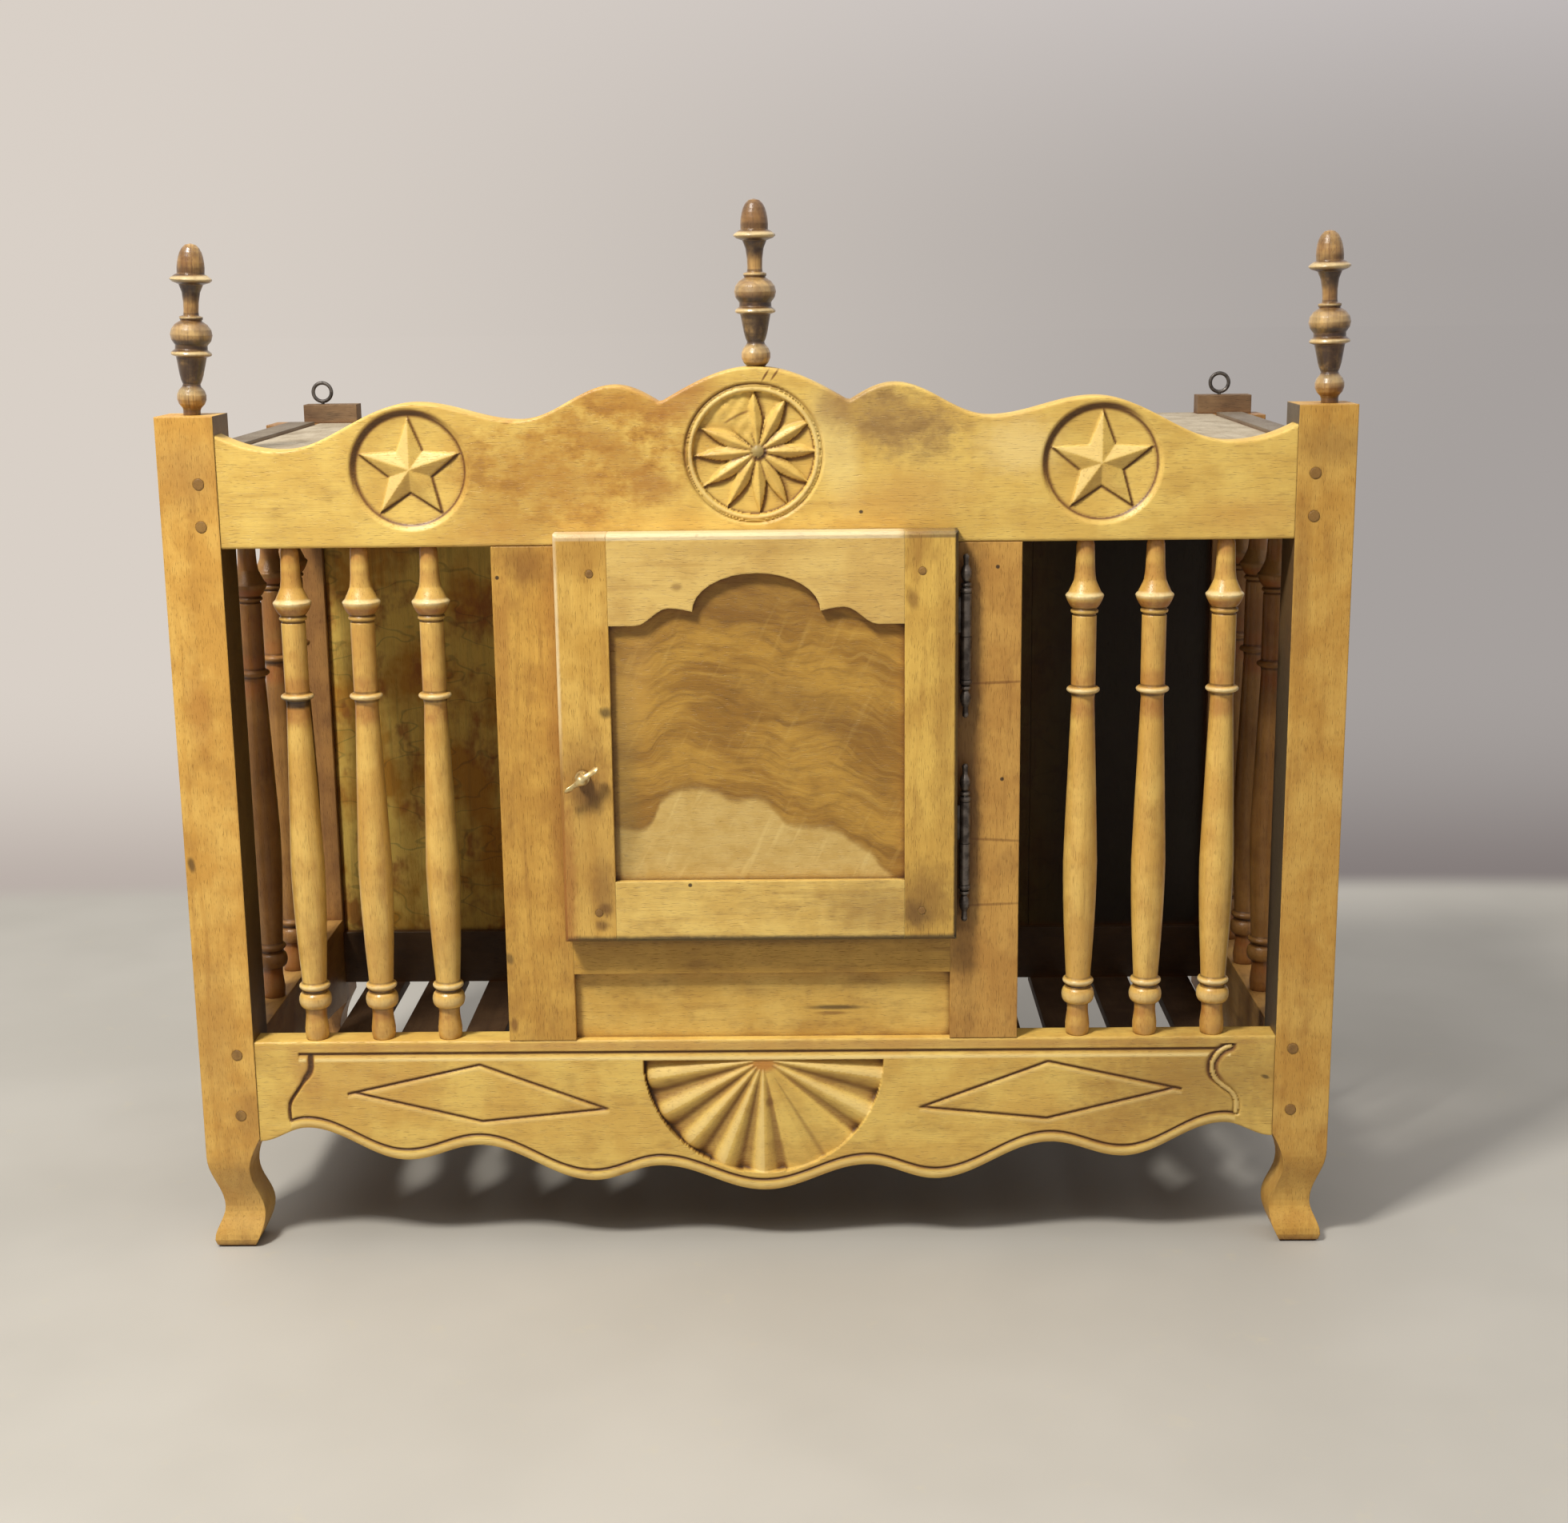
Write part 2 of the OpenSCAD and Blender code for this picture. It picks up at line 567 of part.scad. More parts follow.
module crest_rail() color(honey) place() {
  difference() {
    union() {
      upright(rail_setback, rail_t)
        polygon(concat([[-inner_half, crest_z]], both(crest_half()), [[inner_half, crest_z]]));
      for (right = [false, true]) mirrored(right) crest_tenon(0);
    }
    for (s = [-1, 1]) at_front(s * star_x, star_z) dish(star_field_r);
    at_front(0, rosette_z) {
      field(rosette_r, line_depth);
      dish(ring_r);
    }
    for (i = [1:6]) front_spindle_place(i) spindle_holes(joint_gap);
    for (right = [false, true]) mirrored(right) muntin_tenon(joint_gap, crest_z, 1);
    front_peg_set(running_gap);
    translate([finial_off_centre, rail_mid, crest_z + crown_h - 0.5]) {
      cylinder(h = 20, r = 11);
      translate([0, 0, -finial_tenon_l]) cylinder(h = 40, r = finial_tenon_r + running_gap);
    }
  }
  for (s = [-1, 1]) at_front(s * star_x, star_z) star();
  at_front(0, rosette_z) {
    rosette();
    ring_bead();
  }
}
// The rounded ring between the groove and the petals
module ring_bead() translate([0, ring_bead_r + 0.2, 0]) rotate([90, 0, 0])
  rotate_extrude() translate([ring_r, 0]) circle(ring_bead_r);

// Diamonds incised in the apron: the outer point stands higher than the inner one
diamond = [[-106, -15], [0, 25], [107, 1], [-0.5, -25.5]];
diamond_x = 239;
diamond_z = apron_top_z - 46;
module diamond_line() difference() {
  polygon(diamond);
  polygon([for (p = diamond) [p[0] * (1 - line_w * 2.6 / 107), p[1] * (1 - line_w * 2.6 / 107)]]);
}
// Incised line round the carved field, drawn for the right half
end_x = inner_half - 27;
end_curve = concat(
  wave_up([end_x - 1, scallop_top_z + 8], [end_x, scallop_top_z + 15], 3),
  wave_up([end_x, scallop_top_z + 15], [end_x - 21.5, apron_top_z - 26], 8),
  [[end_x - 21, apron_top_z - 14.5]]);
module apron_lines() {
  path = concat(apron_line(bead_w), end_curve);
  polygon(stroke(both(path), line_w));
  translate([-inner_half + 36.5, apron_top_z - 10.5 - line_w / 2]) square([inner_half * 2 - 73, line_w]);
}
module apron_rail() color(honey) place() {
  difference() {
    union() {
      upright(rail_setback, rail_t)
        polygon(concat([[-inner_half, apron_top_z]], both(apron_half()), [[inner_half, apron_top_z]]));
      for (right = [false, true]) mirrored(right) apron_tenon(0);
    }
    upright(rail_setback - cut, cut + line_depth) {
      apron_lines();
      translate([diamond_x, diamond_z]) diamond_line();
      mirror([1, 0]) translate([diamond_x, diamond_z]) diamond_line();
    }
    at_front(0, shell_z) shell_field();
    for (i = [1:6]) front_spindle_place(i) spindle_holes(joint_gap);
    for (right = [false, true]) mirrored(right) muntin_tenon(joint_gap, apron_top_z, -1);
    lower_panel_shape(joint_gap);
    front_peg_set(running_gap);
  }
  for (i = [0:shell_ribs - 1]) at_front(0, shell_z)
    rotate([0, 90 - 180 * (i + 0.5) / shell_ribs, 0]) shell_rib();
  at_front(0, shell_z) shell_hub();
}
shell_z = apron_top_z - 18.5;
module shell_field() intersection() {
  field(shell_r, shell_depth);
  block(-shell_r - cut, shell_r + cut, -cut * 2, shell_depth + cut, -shell_r - cut, 0);
}
module shell_hub() intersection() {
  translate([0, shell_depth + sunk, 0]) rotate([90, 0, 0]) cylinder(h = shell_depth + 0.3, r = 9);
  block(-12, 12, -1, shell_depth + 2, -12, 0);
}

// Muntins, sill and lower panel

// The tenon at one end of the left muntin; way is 1 above the shoulder and -1 below it
module muntin_tenon(g, z, way) grown(g, -muntin_out + 8, -muntin_in - 8, rail_mid - tenon_t / 2,
  rail_mid + tenon_t / 2, way > 0 ? z - cut : z - 22, way > 0 ? z + 22 : z + cut);
module sill_tenon(g) grown(g, -muntin_in - 20, -muntin_in + cut, rail_mid - tenon_t / 2,
  rail_mid + tenon_t / 2, sill_z + lower_groove + 2, sill_z + sill_h - tenon_shoulder);
module muntin() difference() {
  union() {
    block(-muntin_out, -muntin_in, rail_setback, rail_back, apron_top_z, crest_z);
    muntin_tenon(0, crest_z, 1);
    muntin_tenon(0, apron_top_z, -1);
  }
  sill_tenon(joint_gap);
  lower_panel_shape(joint_gap);
}
module sill_rail() color(amber) place() difference() {
  union() {
    block(-muntin_in, muntin_in, rail_setback, rail_back, sill_z, sill_z + sill_h);
    for (right = [false, true]) mirrored(right) sill_tenon(0);
  }
  lower_panel_shape(joint_gap);
}
module lower_panel_shape(g) grown(g, -muntin_in - lower_groove, muntin_in + lower_groove,
  rail_mid - lower_panel_t / 2, rail_mid + lower_panel_t / 2, apron_top_z - lower_groove,
  sill_z + lower_groove);

// Sides and back

module side_top_rail() difference() {
  union() {
    block(-inner_half - rail_t, -inner_half, post_d, rear_post_front, crest_z, side_top_z);
    side_tenons(0, crest_z, side_top_z);
  }
  for (i = [1:3]) side_spindle_place(false, i) spindle_holes(joint_gap);
}
// Radius of the shallow arch under a lower side rail
side_arch_rise = 14;
side_span = cabinet_d - post_d * 2;
side_arch_r = (pow(side_span / 2, 2) + pow(side_arch_rise, 2)) / (2 * side_arch_rise);
module side_bottom_rail() difference() {
  union() {
    block(-inner_half - rail_t, -inner_half, post_d, rear_post_front, side_low_z, apron_top_z);
    side_tenons(0, side_low_z + side_arch_rise, apron_top_z);
  }
  translate([-side_mid_x - rail_t, side_mid_y, side_low_z + side_arch_rise - side_arch_r])
    rotate([0, 90, 0]) cylinder(h = rail_t * 2, r = side_arch_r, $fn = 120);
  for (i = [1:3]) side_spindle_place(false, i) spindle_holes(joint_gap);
}
module rear_rail(z0, z1) difference() {
  union() {
    block(-inner_half, inner_half, rear_post_front, rear_rail_back, z0, z1);
    for (right = [false, true]) mirrored(right) rear_tenon(0, z0, z1);
  }
  back_shape(joint_gap, -inner_half, inner_half);
}
module back_shape(g, x0, x1) grown(g, x0, x1, rear_rail_mid - back_t / 2, rear_rail_mid + back_t / 2,
  rear_low_top_z - board_groove, crest_z + board_groove);
back_w = inner_half * 2 / back_n;
module back_board(i) color(dark) place()
  if (i <= back_n)
    back_shape(0, -inner_half + back_w * (i - 1) + board_gap, -inner_half + back_w * i - board_gap);

// Floor and roof

module floor_bearer() color(brown) place()
  block(-inner_half, inner_half, rail_back, rail_back + bearer_d, slat_z - bearer_h, slat_z);
// The slats lie on the bearer behind the apron and are nailed up under the rear rail
slat_pitch = (inner_half * 2 - slat_lead) / slat_n;
module floor_slats() color(brown) place() for (i = [1:slat_n])
  translate([inner_half + slat_gap / 2 - slat_pitch * i, rail_back, slat_z])
    cube([slat_pitch - slat_gap, rear_rail_back - rail_back, slat_t]);
module roof_ledger() color(brown) place()
  block(-inner_half, inner_half, rail_back, rail_back + bearer_d, roof_under_z - ledger_h, roof_under_z);
roof_w = inner_half * 2 / roof_n;
module roof_board(i) color(honey) place() if (i <= roof_n)
  block(-inner_half + roof_w * (i - 1) + board_gap, -inner_half + roof_w * i - board_gap,
    rail_back, cabinet_d, roof_under_z, roof_z);

// Hanging blocks and eyes

module hanging_block(x, eye_x) color(brown) place() difference() {
  block(x - block_w / 2, x + block_w / 2, block_y - block_d / 2, block_y + block_d / 2,
    roof_z, roof_z + block_h);
  eye_shank(eye_x, joint_gap);
}
module eye_shank(x, g) translate([x, eye_y, roof_z + block_h - eye_shank_l - g])
  cylinder(h = eye_shank_l + wire_r + 1 + g, r = eye_shank_r + g);
module screw_eye(x) color(iron) place() {
  translate([x, eye_y, eye_z]) rotate([90, 0, 0]) rotate_extrude() translate([eye_r, 0]) circle(wire_r);
  eye_shank(x, 0);
}

// Door

// Cuts for the chamfers round the front of the door
module chamfer_cut(l) rotate([0, 0, 45])
  cube([door_chamfer * sqrt(2), door_chamfer * sqrt(2), l], center = true);
module door_edges() translate([0, door_front, (door_low + door_high) / 2]) {
  for (s = [-1, 1]) translate([s * door_half, 0, 0]) chamfer_cut(door_high - door_low + cut * 2);
  for (s = [-1, 1]) translate([0, 0, s * (door_high - door_low) / 2]) rotate([0, 90, 0])
    chamfer_cut(door_half * 2 + cut * 2);
}
module door_stile(right) difference() {
  block(right ? stile_in : -door_half, right ? door_half : -stile_in, door_front, door_back,
    door_low, door_high);
  mirrored(right) door_tenons(joint_gap);
  door_panel_shape(joint_gap);
  for (p = door_peg_places) door_peg(p[0], p[1], running_gap);
  door_edges();
}
// Tenons of the door rails, in the left stile
module door_tenons(g) {
  grown(g, -stile_in - door_tenon_l, -stile_in + cut, door_mid - 3.5, door_mid + 3.5,
    top_rail_z + 14, door_high - 14);
  grown(g, -stile_in - door_tenon_l, -stile_in + cut, door_mid - 3.5, door_mid + 3.5,
    door_low + 10, bottom_rail_z - 10);
}
// Half of the lower edge of the top rail: arch, cusp, small hump and straight end
arch_hump_x = arch_half + 19;
arch_end_x = arch_half + 46;
cusp_rise = arch_rise - 30.5;
function arch_edge(dz) = concat(
  [for (i = [0:8]) [arch_half * sin(90 * i / 8), top_rail_z + cusp_rise + 30.5 * cos(90 * i / 8) + dz]],
  [for (i = [1:3]) [arch_half + 19 * i / 3, top_rail_z + cusp_rise + 3 * sin(30 * i) + dz]],
  wave([arch_hump_x, top_rail_z + cusp_rise + 3 + dz], [arch_end_x, top_rail_z + dz], 6));
module door_panel_shape(g) upright(door_mid - panel_t / 2 - g, panel_t + g * 2) {
  e = stile_in + panel_groove + g;
  polygon(concat([[-e, bottom_rail_z - panel_groove - g], [-e, top_rail_z + panel_groove + g]],
    both(arch_edge(panel_groove + g)),
    [[e, top_rail_z + panel_groove + g], [e, bottom_rail_z - panel_groove - g]]));
}
module door_top_rail() color(honey) place() difference() {
  union() {
    upright(door_front, door_t)
      polygon(concat([[-stile_in, door_high], [-stile_in, top_rail_z]], both(arch_edge(0)),
        [[stile_in, top_rail_z], [stile_in, door_high]]));
    intersection() {
      for (right = [false, true]) mirrored(right) door_tenons(0);
      block(-door_half, door_half, door_front, door_back, top_rail_z, door_high);
    }
  }
  door_panel_shape(joint_gap);
  for (p = door_peg_places) door_peg(p[0], p[1], running_gap);
  door_edges();
}
module door_bottom_rail() color(amber) place() difference() {
  union() {
    block(-stile_in, stile_in, door_front, door_back, door_low, bottom_rail_z);
    intersection() {
      for (right = [false, true]) mirrored(right) door_tenons(0);
      block(-door_half, door_half, door_front, door_back, door_low, bottom_rail_z);
    }
  }
  door_panel_shape(joint_gap);
  for (p = door_peg_places) door_peg(p[0], p[1], running_gap);
  door_edges();
}
door_peg_x = stile_in + 14;
door_peg_places = [for (s = [-1, 1]) for (z = [door_high - 31.5, door_low + 25]) [s * door_peg_x, z]];
door_peg_r = peg_r * 0.7;
module door_peg(x, z, g) translate([x, door_front - 0.3, z]) rotate([-90, 0, 0])
  cylinder(h = door_t - 3 + g, r = door_peg_r + g);

// Hinges

module hinge_place(z) translate([hinge_x, hinge_y, z]) children();
// A turned tip at the end of a barrel, drawn upwards from z = 0
tip_l = 32;
module hinge_tip() rotate_extrude() polygon(concat([[0, 0], [hinge_r, 0]],
  bead(hinge_r - 1, 1.6, 2.4, 2.4, 4), bead(hinge_r - 1.4, 1.2, 7, 1.6, 4),
  [for (i = [0:6]) [2.2 + 2.4 * sin(30 * i), 9 + 14 * i / 6]],
  [for (i = [1:5]) let (a = -60 + 30 * i) [2.8 * cos(a), tip_l - 3 + 2.9 * sin(a)]], [[0, tip_l]]));
// The half on the door: knuckle with its bore above the joint, leaf into the stile
module hinge_door_half(z) color(iron) place() hinge_place(z) {
  difference() {
    union() {
      translate([0, 0, knuckle_gap]) cylinder(h = knuckle_l, r = hinge_r);
      hinge_door_leaf(0);
      translate([0, 0, knuckle_gap + knuckle_l - eps]) hinge_tip();
    }
    translate([0, 0, knuckle_gap - cut]) cylinder(h = knuckle_l - 1.5 + cut, r = pin_r + running_gap);
  }
}
module hinge_door_leaf(g) difference() {
  grown(g, -(hinge_x - door_half) - leaf_in, 0, -leaf_t / 2, leaf_t / 2, knuckle_gap + 3,
    knuckle_gap + knuckle_l - 3);
  translate([0, 0, -cut]) cylinder(h = knuckle_l + 4, r = pin_r + running_gap + 0.6);
}
// The half on the muntin: knuckle below the joint, pin up into the other half, leaf back
module hinge_pin_half(z) color(iron) place() hinge_place(z) {
  translate([0, 0, -knuckle_l]) cylinder(h = knuckle_l, r = hinge_r);
  cylinder(h = knuckle_l - 2, r = pin_r);
  hinge_pin_leaf(0);
  translate([0, 0, -knuckle_l + eps]) mirror([0, 0, 1]) hinge_tip();
}
module hinge_pin_leaf(g) grown(g, -leaf_t / 2, leaf_t / 2, 0, rail_setback - hinge_y + leaf_in,
  -knuckle_l + 3, -3);

// Latch

module latch_place() translate([handle_x, 0, handle_z]) rotate([-90, 0, 0]) children();
module turn_handle() color(brass) place() latch_place() {
  translate([0, 0, door_front - collar_h + 1])
    cylinder(h = tongue_y - door_front + collar_h - 1, r = shank_r);
  translate([0, 0, tongue_y - 1]) cylinder(h = tongue_t + 2 + rivet_h / 2, r = stub_r);
  translate([0, 0, tongue_y + tongue_t + running_gap]) cylinder(h = rivet_h, r = shank_r + 0.8);
  translate([0, 0, door_front - collar_h]) cylinder(h = collar_h - running_gap, r = shank_r + 2.5);
  translate([0, 0, door_front - boss_h]) cylinder(h = boss_h - 1, r = shank_r + 0.5);
  translate([0, 0, door_front - boss_h]) rotate([0, 0, -handle_slope]) {
    rotate([0, 90, 0]) cylinder(h = handle_l - tip_r * 2, r = bar_r, center = true);
    for (s = [-1, 1]) translate([s * (handle_l / 2 - tip_r), 0, 0]) sphere(r = tip_r);
    sphere(r = ball_r);
  }
}
module latch_tongue() color(iron) place() latch_place() translate([0, 0, tongue_y]) difference() {
  union() {
    cylinder(h = tongue_t, r = tongue_w * 0.62);
    translate([-tongue_w / 2, 0, 0]) cube([tongue_w, tongue_l, tongue_t]);
  }
  translate([0, 0, -cut]) cylinder(h = tongue_t + cut * 2, r = stub_r + running_gap);
}

// Nodes

module front_post_node(right) color(honey) place() difference() {
  mirrored(right) front_post();
  finial_hole(right);
}
module muntin_node(right) color(amber) place() difference() {
  mirrored(right) muntin();
  if (right) for (z = [hinge_top_z, hinge_low_z]) hinge_place(z) hinge_pin_leaf(joint_gap);
}
module lock_stile_node() color(honey) place() difference() {
  door_stile(false);
  latch_place() translate([0, 0, door_front - cut])
    cylinder(h = door_t + cut * 2, r = shank_r + running_gap);
}
module hinge_stile_node() color(honey) place() difference() {
  door_stile(true);
  for (z = [hinge_top_z, hinge_low_z]) hinge_place(z) hinge_door_leaf(joint_gap);
}
module spindle_node() color(honey) place() children();
module corner_finial(right) color(brown) place()
  translate([finial_x(right), post_d / 2, post_h])
    finial(right ? -lean_right : lean_left, 0);

front_post_node(false);  // front_post_left
front_post_node(true);  // front_post_right
color(amber) place() rear_post();  // rear_post_left
color(amber) place() mirrored(true) rear_post();  // rear_post_right
crest_rail();
apron_rail();
sill_rail();
color(honey) place() lower_panel_shape(0);  // lower_panel
muntin_node(false);  // muntin_left
muntin_node(true);  // muntin_right
color(brown) place() rear_rail(crest_z, roof_under_z);  // rear_top_rail
color(brown) place() rear_rail(rear_low_z, rear_low_top_z);  // rear_bottom_rail
color(amber) place() side_top_rail();  // side_top_rail_left
color(amber) place() mirrored(true) side_top_rail();  // side_top_rail_right
color(amber) place() side_bottom_rail();  // side_bottom_rail_left
color(amber) place() mirrored(true) side_bottom_rail();  // side_bottom_rail_right
for (i = [1:6]) spindle_node() front_spindle_place(i) spindle();
for (i = [1:3]) spindle_node() side_spindle_place(false, i) spindle();
for (i = [1:3]) spindle_node() side_spindle_place(true, i) spindle();
for (i = [1:5]) back_board(i);
floor_bearer();
floor_slats();
roof_ledger();
for (i = [1:4]) roof_board(i);
corner_finial(false);  // finial_left
color(brown) place()  // finial_centre
  translate([finial_off_centre, rail_mid, crest_z + crown_h - 0.5]) finial(0, centre_drop);
corner_finial(true);  // finial_right
hanging_block(block_left_x, eye_left_x);  // hanging_block_left
hanging_block(block_right_x, eye_right_x);  // hanging_block_right
screw_eye(eye_left_x);  // screw_eye_left
screw_eye(eye_right_x);  // screw_eye_right
color(brown) place() front_peg_set(0);  // frame_pegs
lock_stile_node();  // door_lock_stile
hinge_stile_node();  // door_hinge_stile
door_top_rail();
door_bottom_rail();
color(amber) place() door_panel_shape(0);  // door_panel
color(brown) place() for (p = door_peg_places) door_peg(p[0], p[1], 0);  // door_pegs
hinge_pin_half(hinge_top_z);  // upper_hinge_pin_half
hinge_pin_half(hinge_low_z);  // lower_hinge_pin_half
hinge_door_half(hinge_top_z);  // upper_hinge_door_half
hinge_door_half(hinge_low_z);  // lower_hinge_door_half
turn_handle();
latch_tongue();
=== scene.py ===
import math

import bmesh
import bpy
from mathutils import Matrix, Vector


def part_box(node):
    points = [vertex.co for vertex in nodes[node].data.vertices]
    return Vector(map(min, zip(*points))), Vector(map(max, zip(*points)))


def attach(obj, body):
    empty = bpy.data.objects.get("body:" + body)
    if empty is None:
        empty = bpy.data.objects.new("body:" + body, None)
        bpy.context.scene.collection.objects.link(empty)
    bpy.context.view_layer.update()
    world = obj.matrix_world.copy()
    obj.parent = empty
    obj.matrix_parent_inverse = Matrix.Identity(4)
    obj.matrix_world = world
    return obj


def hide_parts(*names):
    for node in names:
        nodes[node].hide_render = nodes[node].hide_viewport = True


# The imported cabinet
# A bread cabinet of waxed walnut: a joined case, a door hung on its right edge and a
# latch on the door. They are loaded as they stand, with the door shut.

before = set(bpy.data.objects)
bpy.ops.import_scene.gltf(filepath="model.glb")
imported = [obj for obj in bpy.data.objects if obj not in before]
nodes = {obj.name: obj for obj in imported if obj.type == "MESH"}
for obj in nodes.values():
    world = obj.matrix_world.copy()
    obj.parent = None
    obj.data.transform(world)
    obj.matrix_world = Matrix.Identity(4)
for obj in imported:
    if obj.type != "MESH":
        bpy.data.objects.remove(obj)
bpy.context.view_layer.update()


# Viewpoint
# The cabinet is seen from in front and a little above, 1.76 m before its posts, through
# a lens that takes in its whole height. The angles are degrees.

LENS = 50.92
SENSOR = 36.0
LOOK_DOWN = 12.4
LOOK_LEFT = 0.86
HEAD_TILT = 0.67
EYE = (0.0469, -1.9514, 0.8124)

pitch = math.radians(LOOK_DOWN)
yaw = math.radians(-LOOK_LEFT)
roll = math.radians(HEAD_TILT)
ahead = Vector((math.sin(yaw) * math.cos(pitch), math.cos(yaw) * math.cos(pitch), -math.sin(pitch)))
level = Vector((math.cos(yaw), -math.sin(yaw), 0.0))
below = ahead.cross(level)
across = math.cos(roll) * level + math.sin(roll) * below
downward = math.cos(roll) * below - math.sin(roll) * level
lens = bpy.data.cameras.new("camera")
lens.sensor_fit = "HORIZONTAL"
lens.sensor_width = SENSOR
lens.lens = LENS
camera = bpy.data.objects.new("camera", lens)
turn = Matrix((across, -downward, -ahead)).transposed().to_4x4()
camera.matrix_world = Matrix.Translation(EYE) @ turn
bpy.context.scene.collection.objects.link(camera)
bpy.context.scene.camera = camera


# Corner posts
# Four walnut sticks, 46 mm square at the front, each with its curved foot sawn from the
# same stick. They are planed, waxed and rubbed by hand, so the grain runs up them. Old
# wax and painted shade darken the corners of the pieces.

# Lengths are millimetres from here on, and depths start at the front posts' faces.
MM = 0.001
POST_FACE = -186.9


class Socket:
    """A value in a material that is added, multiplied or compared as a number is."""

    def __init__(self, shader, out):
        self.shader = shader
        self.out = out

    def maths(self, operation, *values):
        inputs = dict(enumerate(values))
        return self.shader.node("ShaderNodeMath", {"operation": operation}, inputs)

    def __add__(self, other):
        return self.maths("ADD", self, other)

    def __sub__(self, other):
        return self.maths("SUBTRACT", self, other)

    def __mul__(self, other):
        return self.maths("MULTIPLY", self, other)

    def __truediv__(self, other):
        return self.maths("DIVIDE", self, other)

    def __pow__(self, other):
        return self.maths("POWER", self, other)

    def __rsub__(self, other):
        return self.maths("SUBTRACT", other, self)

    def __rtruediv__(self, other):
        return self.maths("DIVIDE", other, self)

    __radd__ = __add__
    __rmul__ = __mul__

    def __abs__(self):
        return self.maths("ABSOLUTE", self)

    def root(self):
        return self.maths("SQRT", self)

    def least(self, other):
        return self.maths("MINIMUM", self, other)

    def most(self, other):
        return self.maths("MAXIMUM", self, other)

    def step(self, start, end):
        """0 at the start value, 1 at the end value and smooth between them."""
        low, high = min(start, end), max(start, end)
        settings = {"interpolation_type": "SMOOTHSTEP"}
        inputs = {"Value": self, "From Min": float(low), "From Max": float(high)}
        rising = self.shader.node("ShaderNodeMapRange", settings, inputs, "Result")
        return rising if start < end else 1.0 - rising


def linear(red, green, blue):
    """The colour that a material is given for a colour seen as 0 to 255."""
    def one(value):
        share = value / 255.0
        return share / 12.92 if share <= 0.04045 else ((share + 0.055) / 1.055) ** 2.4
    return (one(red), one(green), one(blue))


def shade(colour, factor):
    return tuple(min(1.0, part * factor) for part in colour)


class Shader:
    """The nodes of one material or of the world behind the cabinet.

    In a material, x, y and z are the point's place on the cabinet in millimetres.
    """

    def __init__(self, name, tree=None):
        self.tree = tree
        if tree:
            return
        self.material = bpy.data.materials.new(name)
        self.material.use_nodes = True
        self.tree = self.material.node_tree
        self.surface = self.tree.nodes["Principled BSDF"]
        place = self.node("ShaderNodeTexCoord", out="Object")
        self.x = self.part(place, 0) * 1000.0
        self.y = self.part(place, 1) * 1000.0 - POST_FACE
        self.z = self.part(place, 2) * 1000.0

    def plug(self, socket, value):
        if isinstance(value, Socket):
            self.tree.links.new(value.out, socket)
        elif isinstance(value, tuple) and socket.type == "RGBA":
            socket.default_value = (*value, 1.0)
        else:
            socket.default_value = value

    def node(self, kind, settings=None, inputs=None, out=0):
        made = self.tree.nodes.new(kind)
        for name, value in (settings or {}).items():
            if name == "curve":
                bends = made.mapping.curves[0].points
                for i, (start, height) in enumerate(value):
                    bend = bends[i] if i < 2 else bends.new(start, height)
                    bend.location = (start, height)
                made.mapping.update()
            else:
                setattr(made, name, value)
        for name, value in (inputs or {}).items():
            self.plug(made.inputs[name], value)
        return Socket(self, made.outputs[out])

    def part(self, vector, axis):
        return self.node("ShaderNodeSeparateXYZ", {}, {0: vector}, axis)

    def facing(self, axis):
        """How far a face looks along an axis, from -1 to 1."""
        return self.part(self.node("ShaderNodeNewGeometry", out="Normal"), axis)

    def mix(self, share, first, second):
        settings = {"data_type": "RGBA", "blend_type": "MIX"}
        return self.node("ShaderNodeMix", settings, {0: share, 6: first, 7: second}, 2)

    def noise(self, x, y, z, detail=3.0, rough=0.5, seed=0.0):
        spot = self.node("ShaderNodeCombineXYZ", {}, {0: x + seed, 1: y, 2: z})
        inputs = {"Vector": spot, "Scale": 1.0, "Detail": detail, "Roughness": rough}
        return self.node("ShaderNodeTexNoise", {}, inputs, "Fac")

    def blotches(self, size, detail=3.0, rough=0.5, seed=0.0):
        """Noise of one size in millimetres, or of a width, a depth and a height."""
        wide, deep, high = size if isinstance(size, tuple) else (size, size, size)
        return self.noise(self.x / wide, self.y / deep, self.z / high, detail, rough, seed)

    def nook(self, reach):
        """1 on open faces, and less in corners that are nearer than the reach."""
        return self.node("ShaderNodeAmbientOcclusion", {"samples": 6}, {"Distance": reach * MM}, "AO")

    def oval(self, x, z, half_x, half_z, soft=0.5, lean=0.0, torn=0.0):
        """1 inside an oval in the front view, whose edge may be soft, leaning or torn."""
        dx = self.x - float(x)
        dz = self.z - float(z)
        cos, sin = math.cos(math.radians(lean)), math.sin(math.radians(lean))
        along = (dx * cos + dz * sin) / float(half_x)
        up = (dz * cos - dx * sin) / float(half_z)
        reach = (along * along + up * up).root()
        if torn:
            reach = reach + (self.blotches(7.0) - 0.5) * torn
        return reach.step(1.0 + soft, max(0.05, 1.0 - soft))

    def finish(self, colour, rough, height, depth, metal=0.0, normal=None):
        """Joins the colours to the surface, with the height in millimetres as its relief."""
        self.plug(self.surface.inputs["Base Color"], colour)
        self.plug(self.surface.inputs["Roughness"], rough)
        self.plug(self.surface.inputs["Metallic"], metal)
        inputs = {"Height": height, "Distance": depth * MM, "Strength": 1.0}
        if normal is not None:
            inputs["Normal"] = normal
        self.plug(self.surface.inputs["Normal"], self.node("ShaderNodeBump", {}, inputs))
        return self.material


# Browns of old wax and painted shade, for corners, joints and carvings.
WAX_AND_SHADE_BROWN = linear(122, 74, 28)
WAX_AND_SHADE_BLACK = linear(46, 27, 10)
# Rubbed pale wood that also carries a painted highlight on lit carving.
RUB_AND_HIGHLIGHT = linear(250, 222, 150)
ARRIS_R = 1.6
CORNER_REACH = 9.0
WOOD_RELIEF = 0.32
COAT_ROUGH = 0.22
MARK_EDGE = (0.8, 0, 0.9)


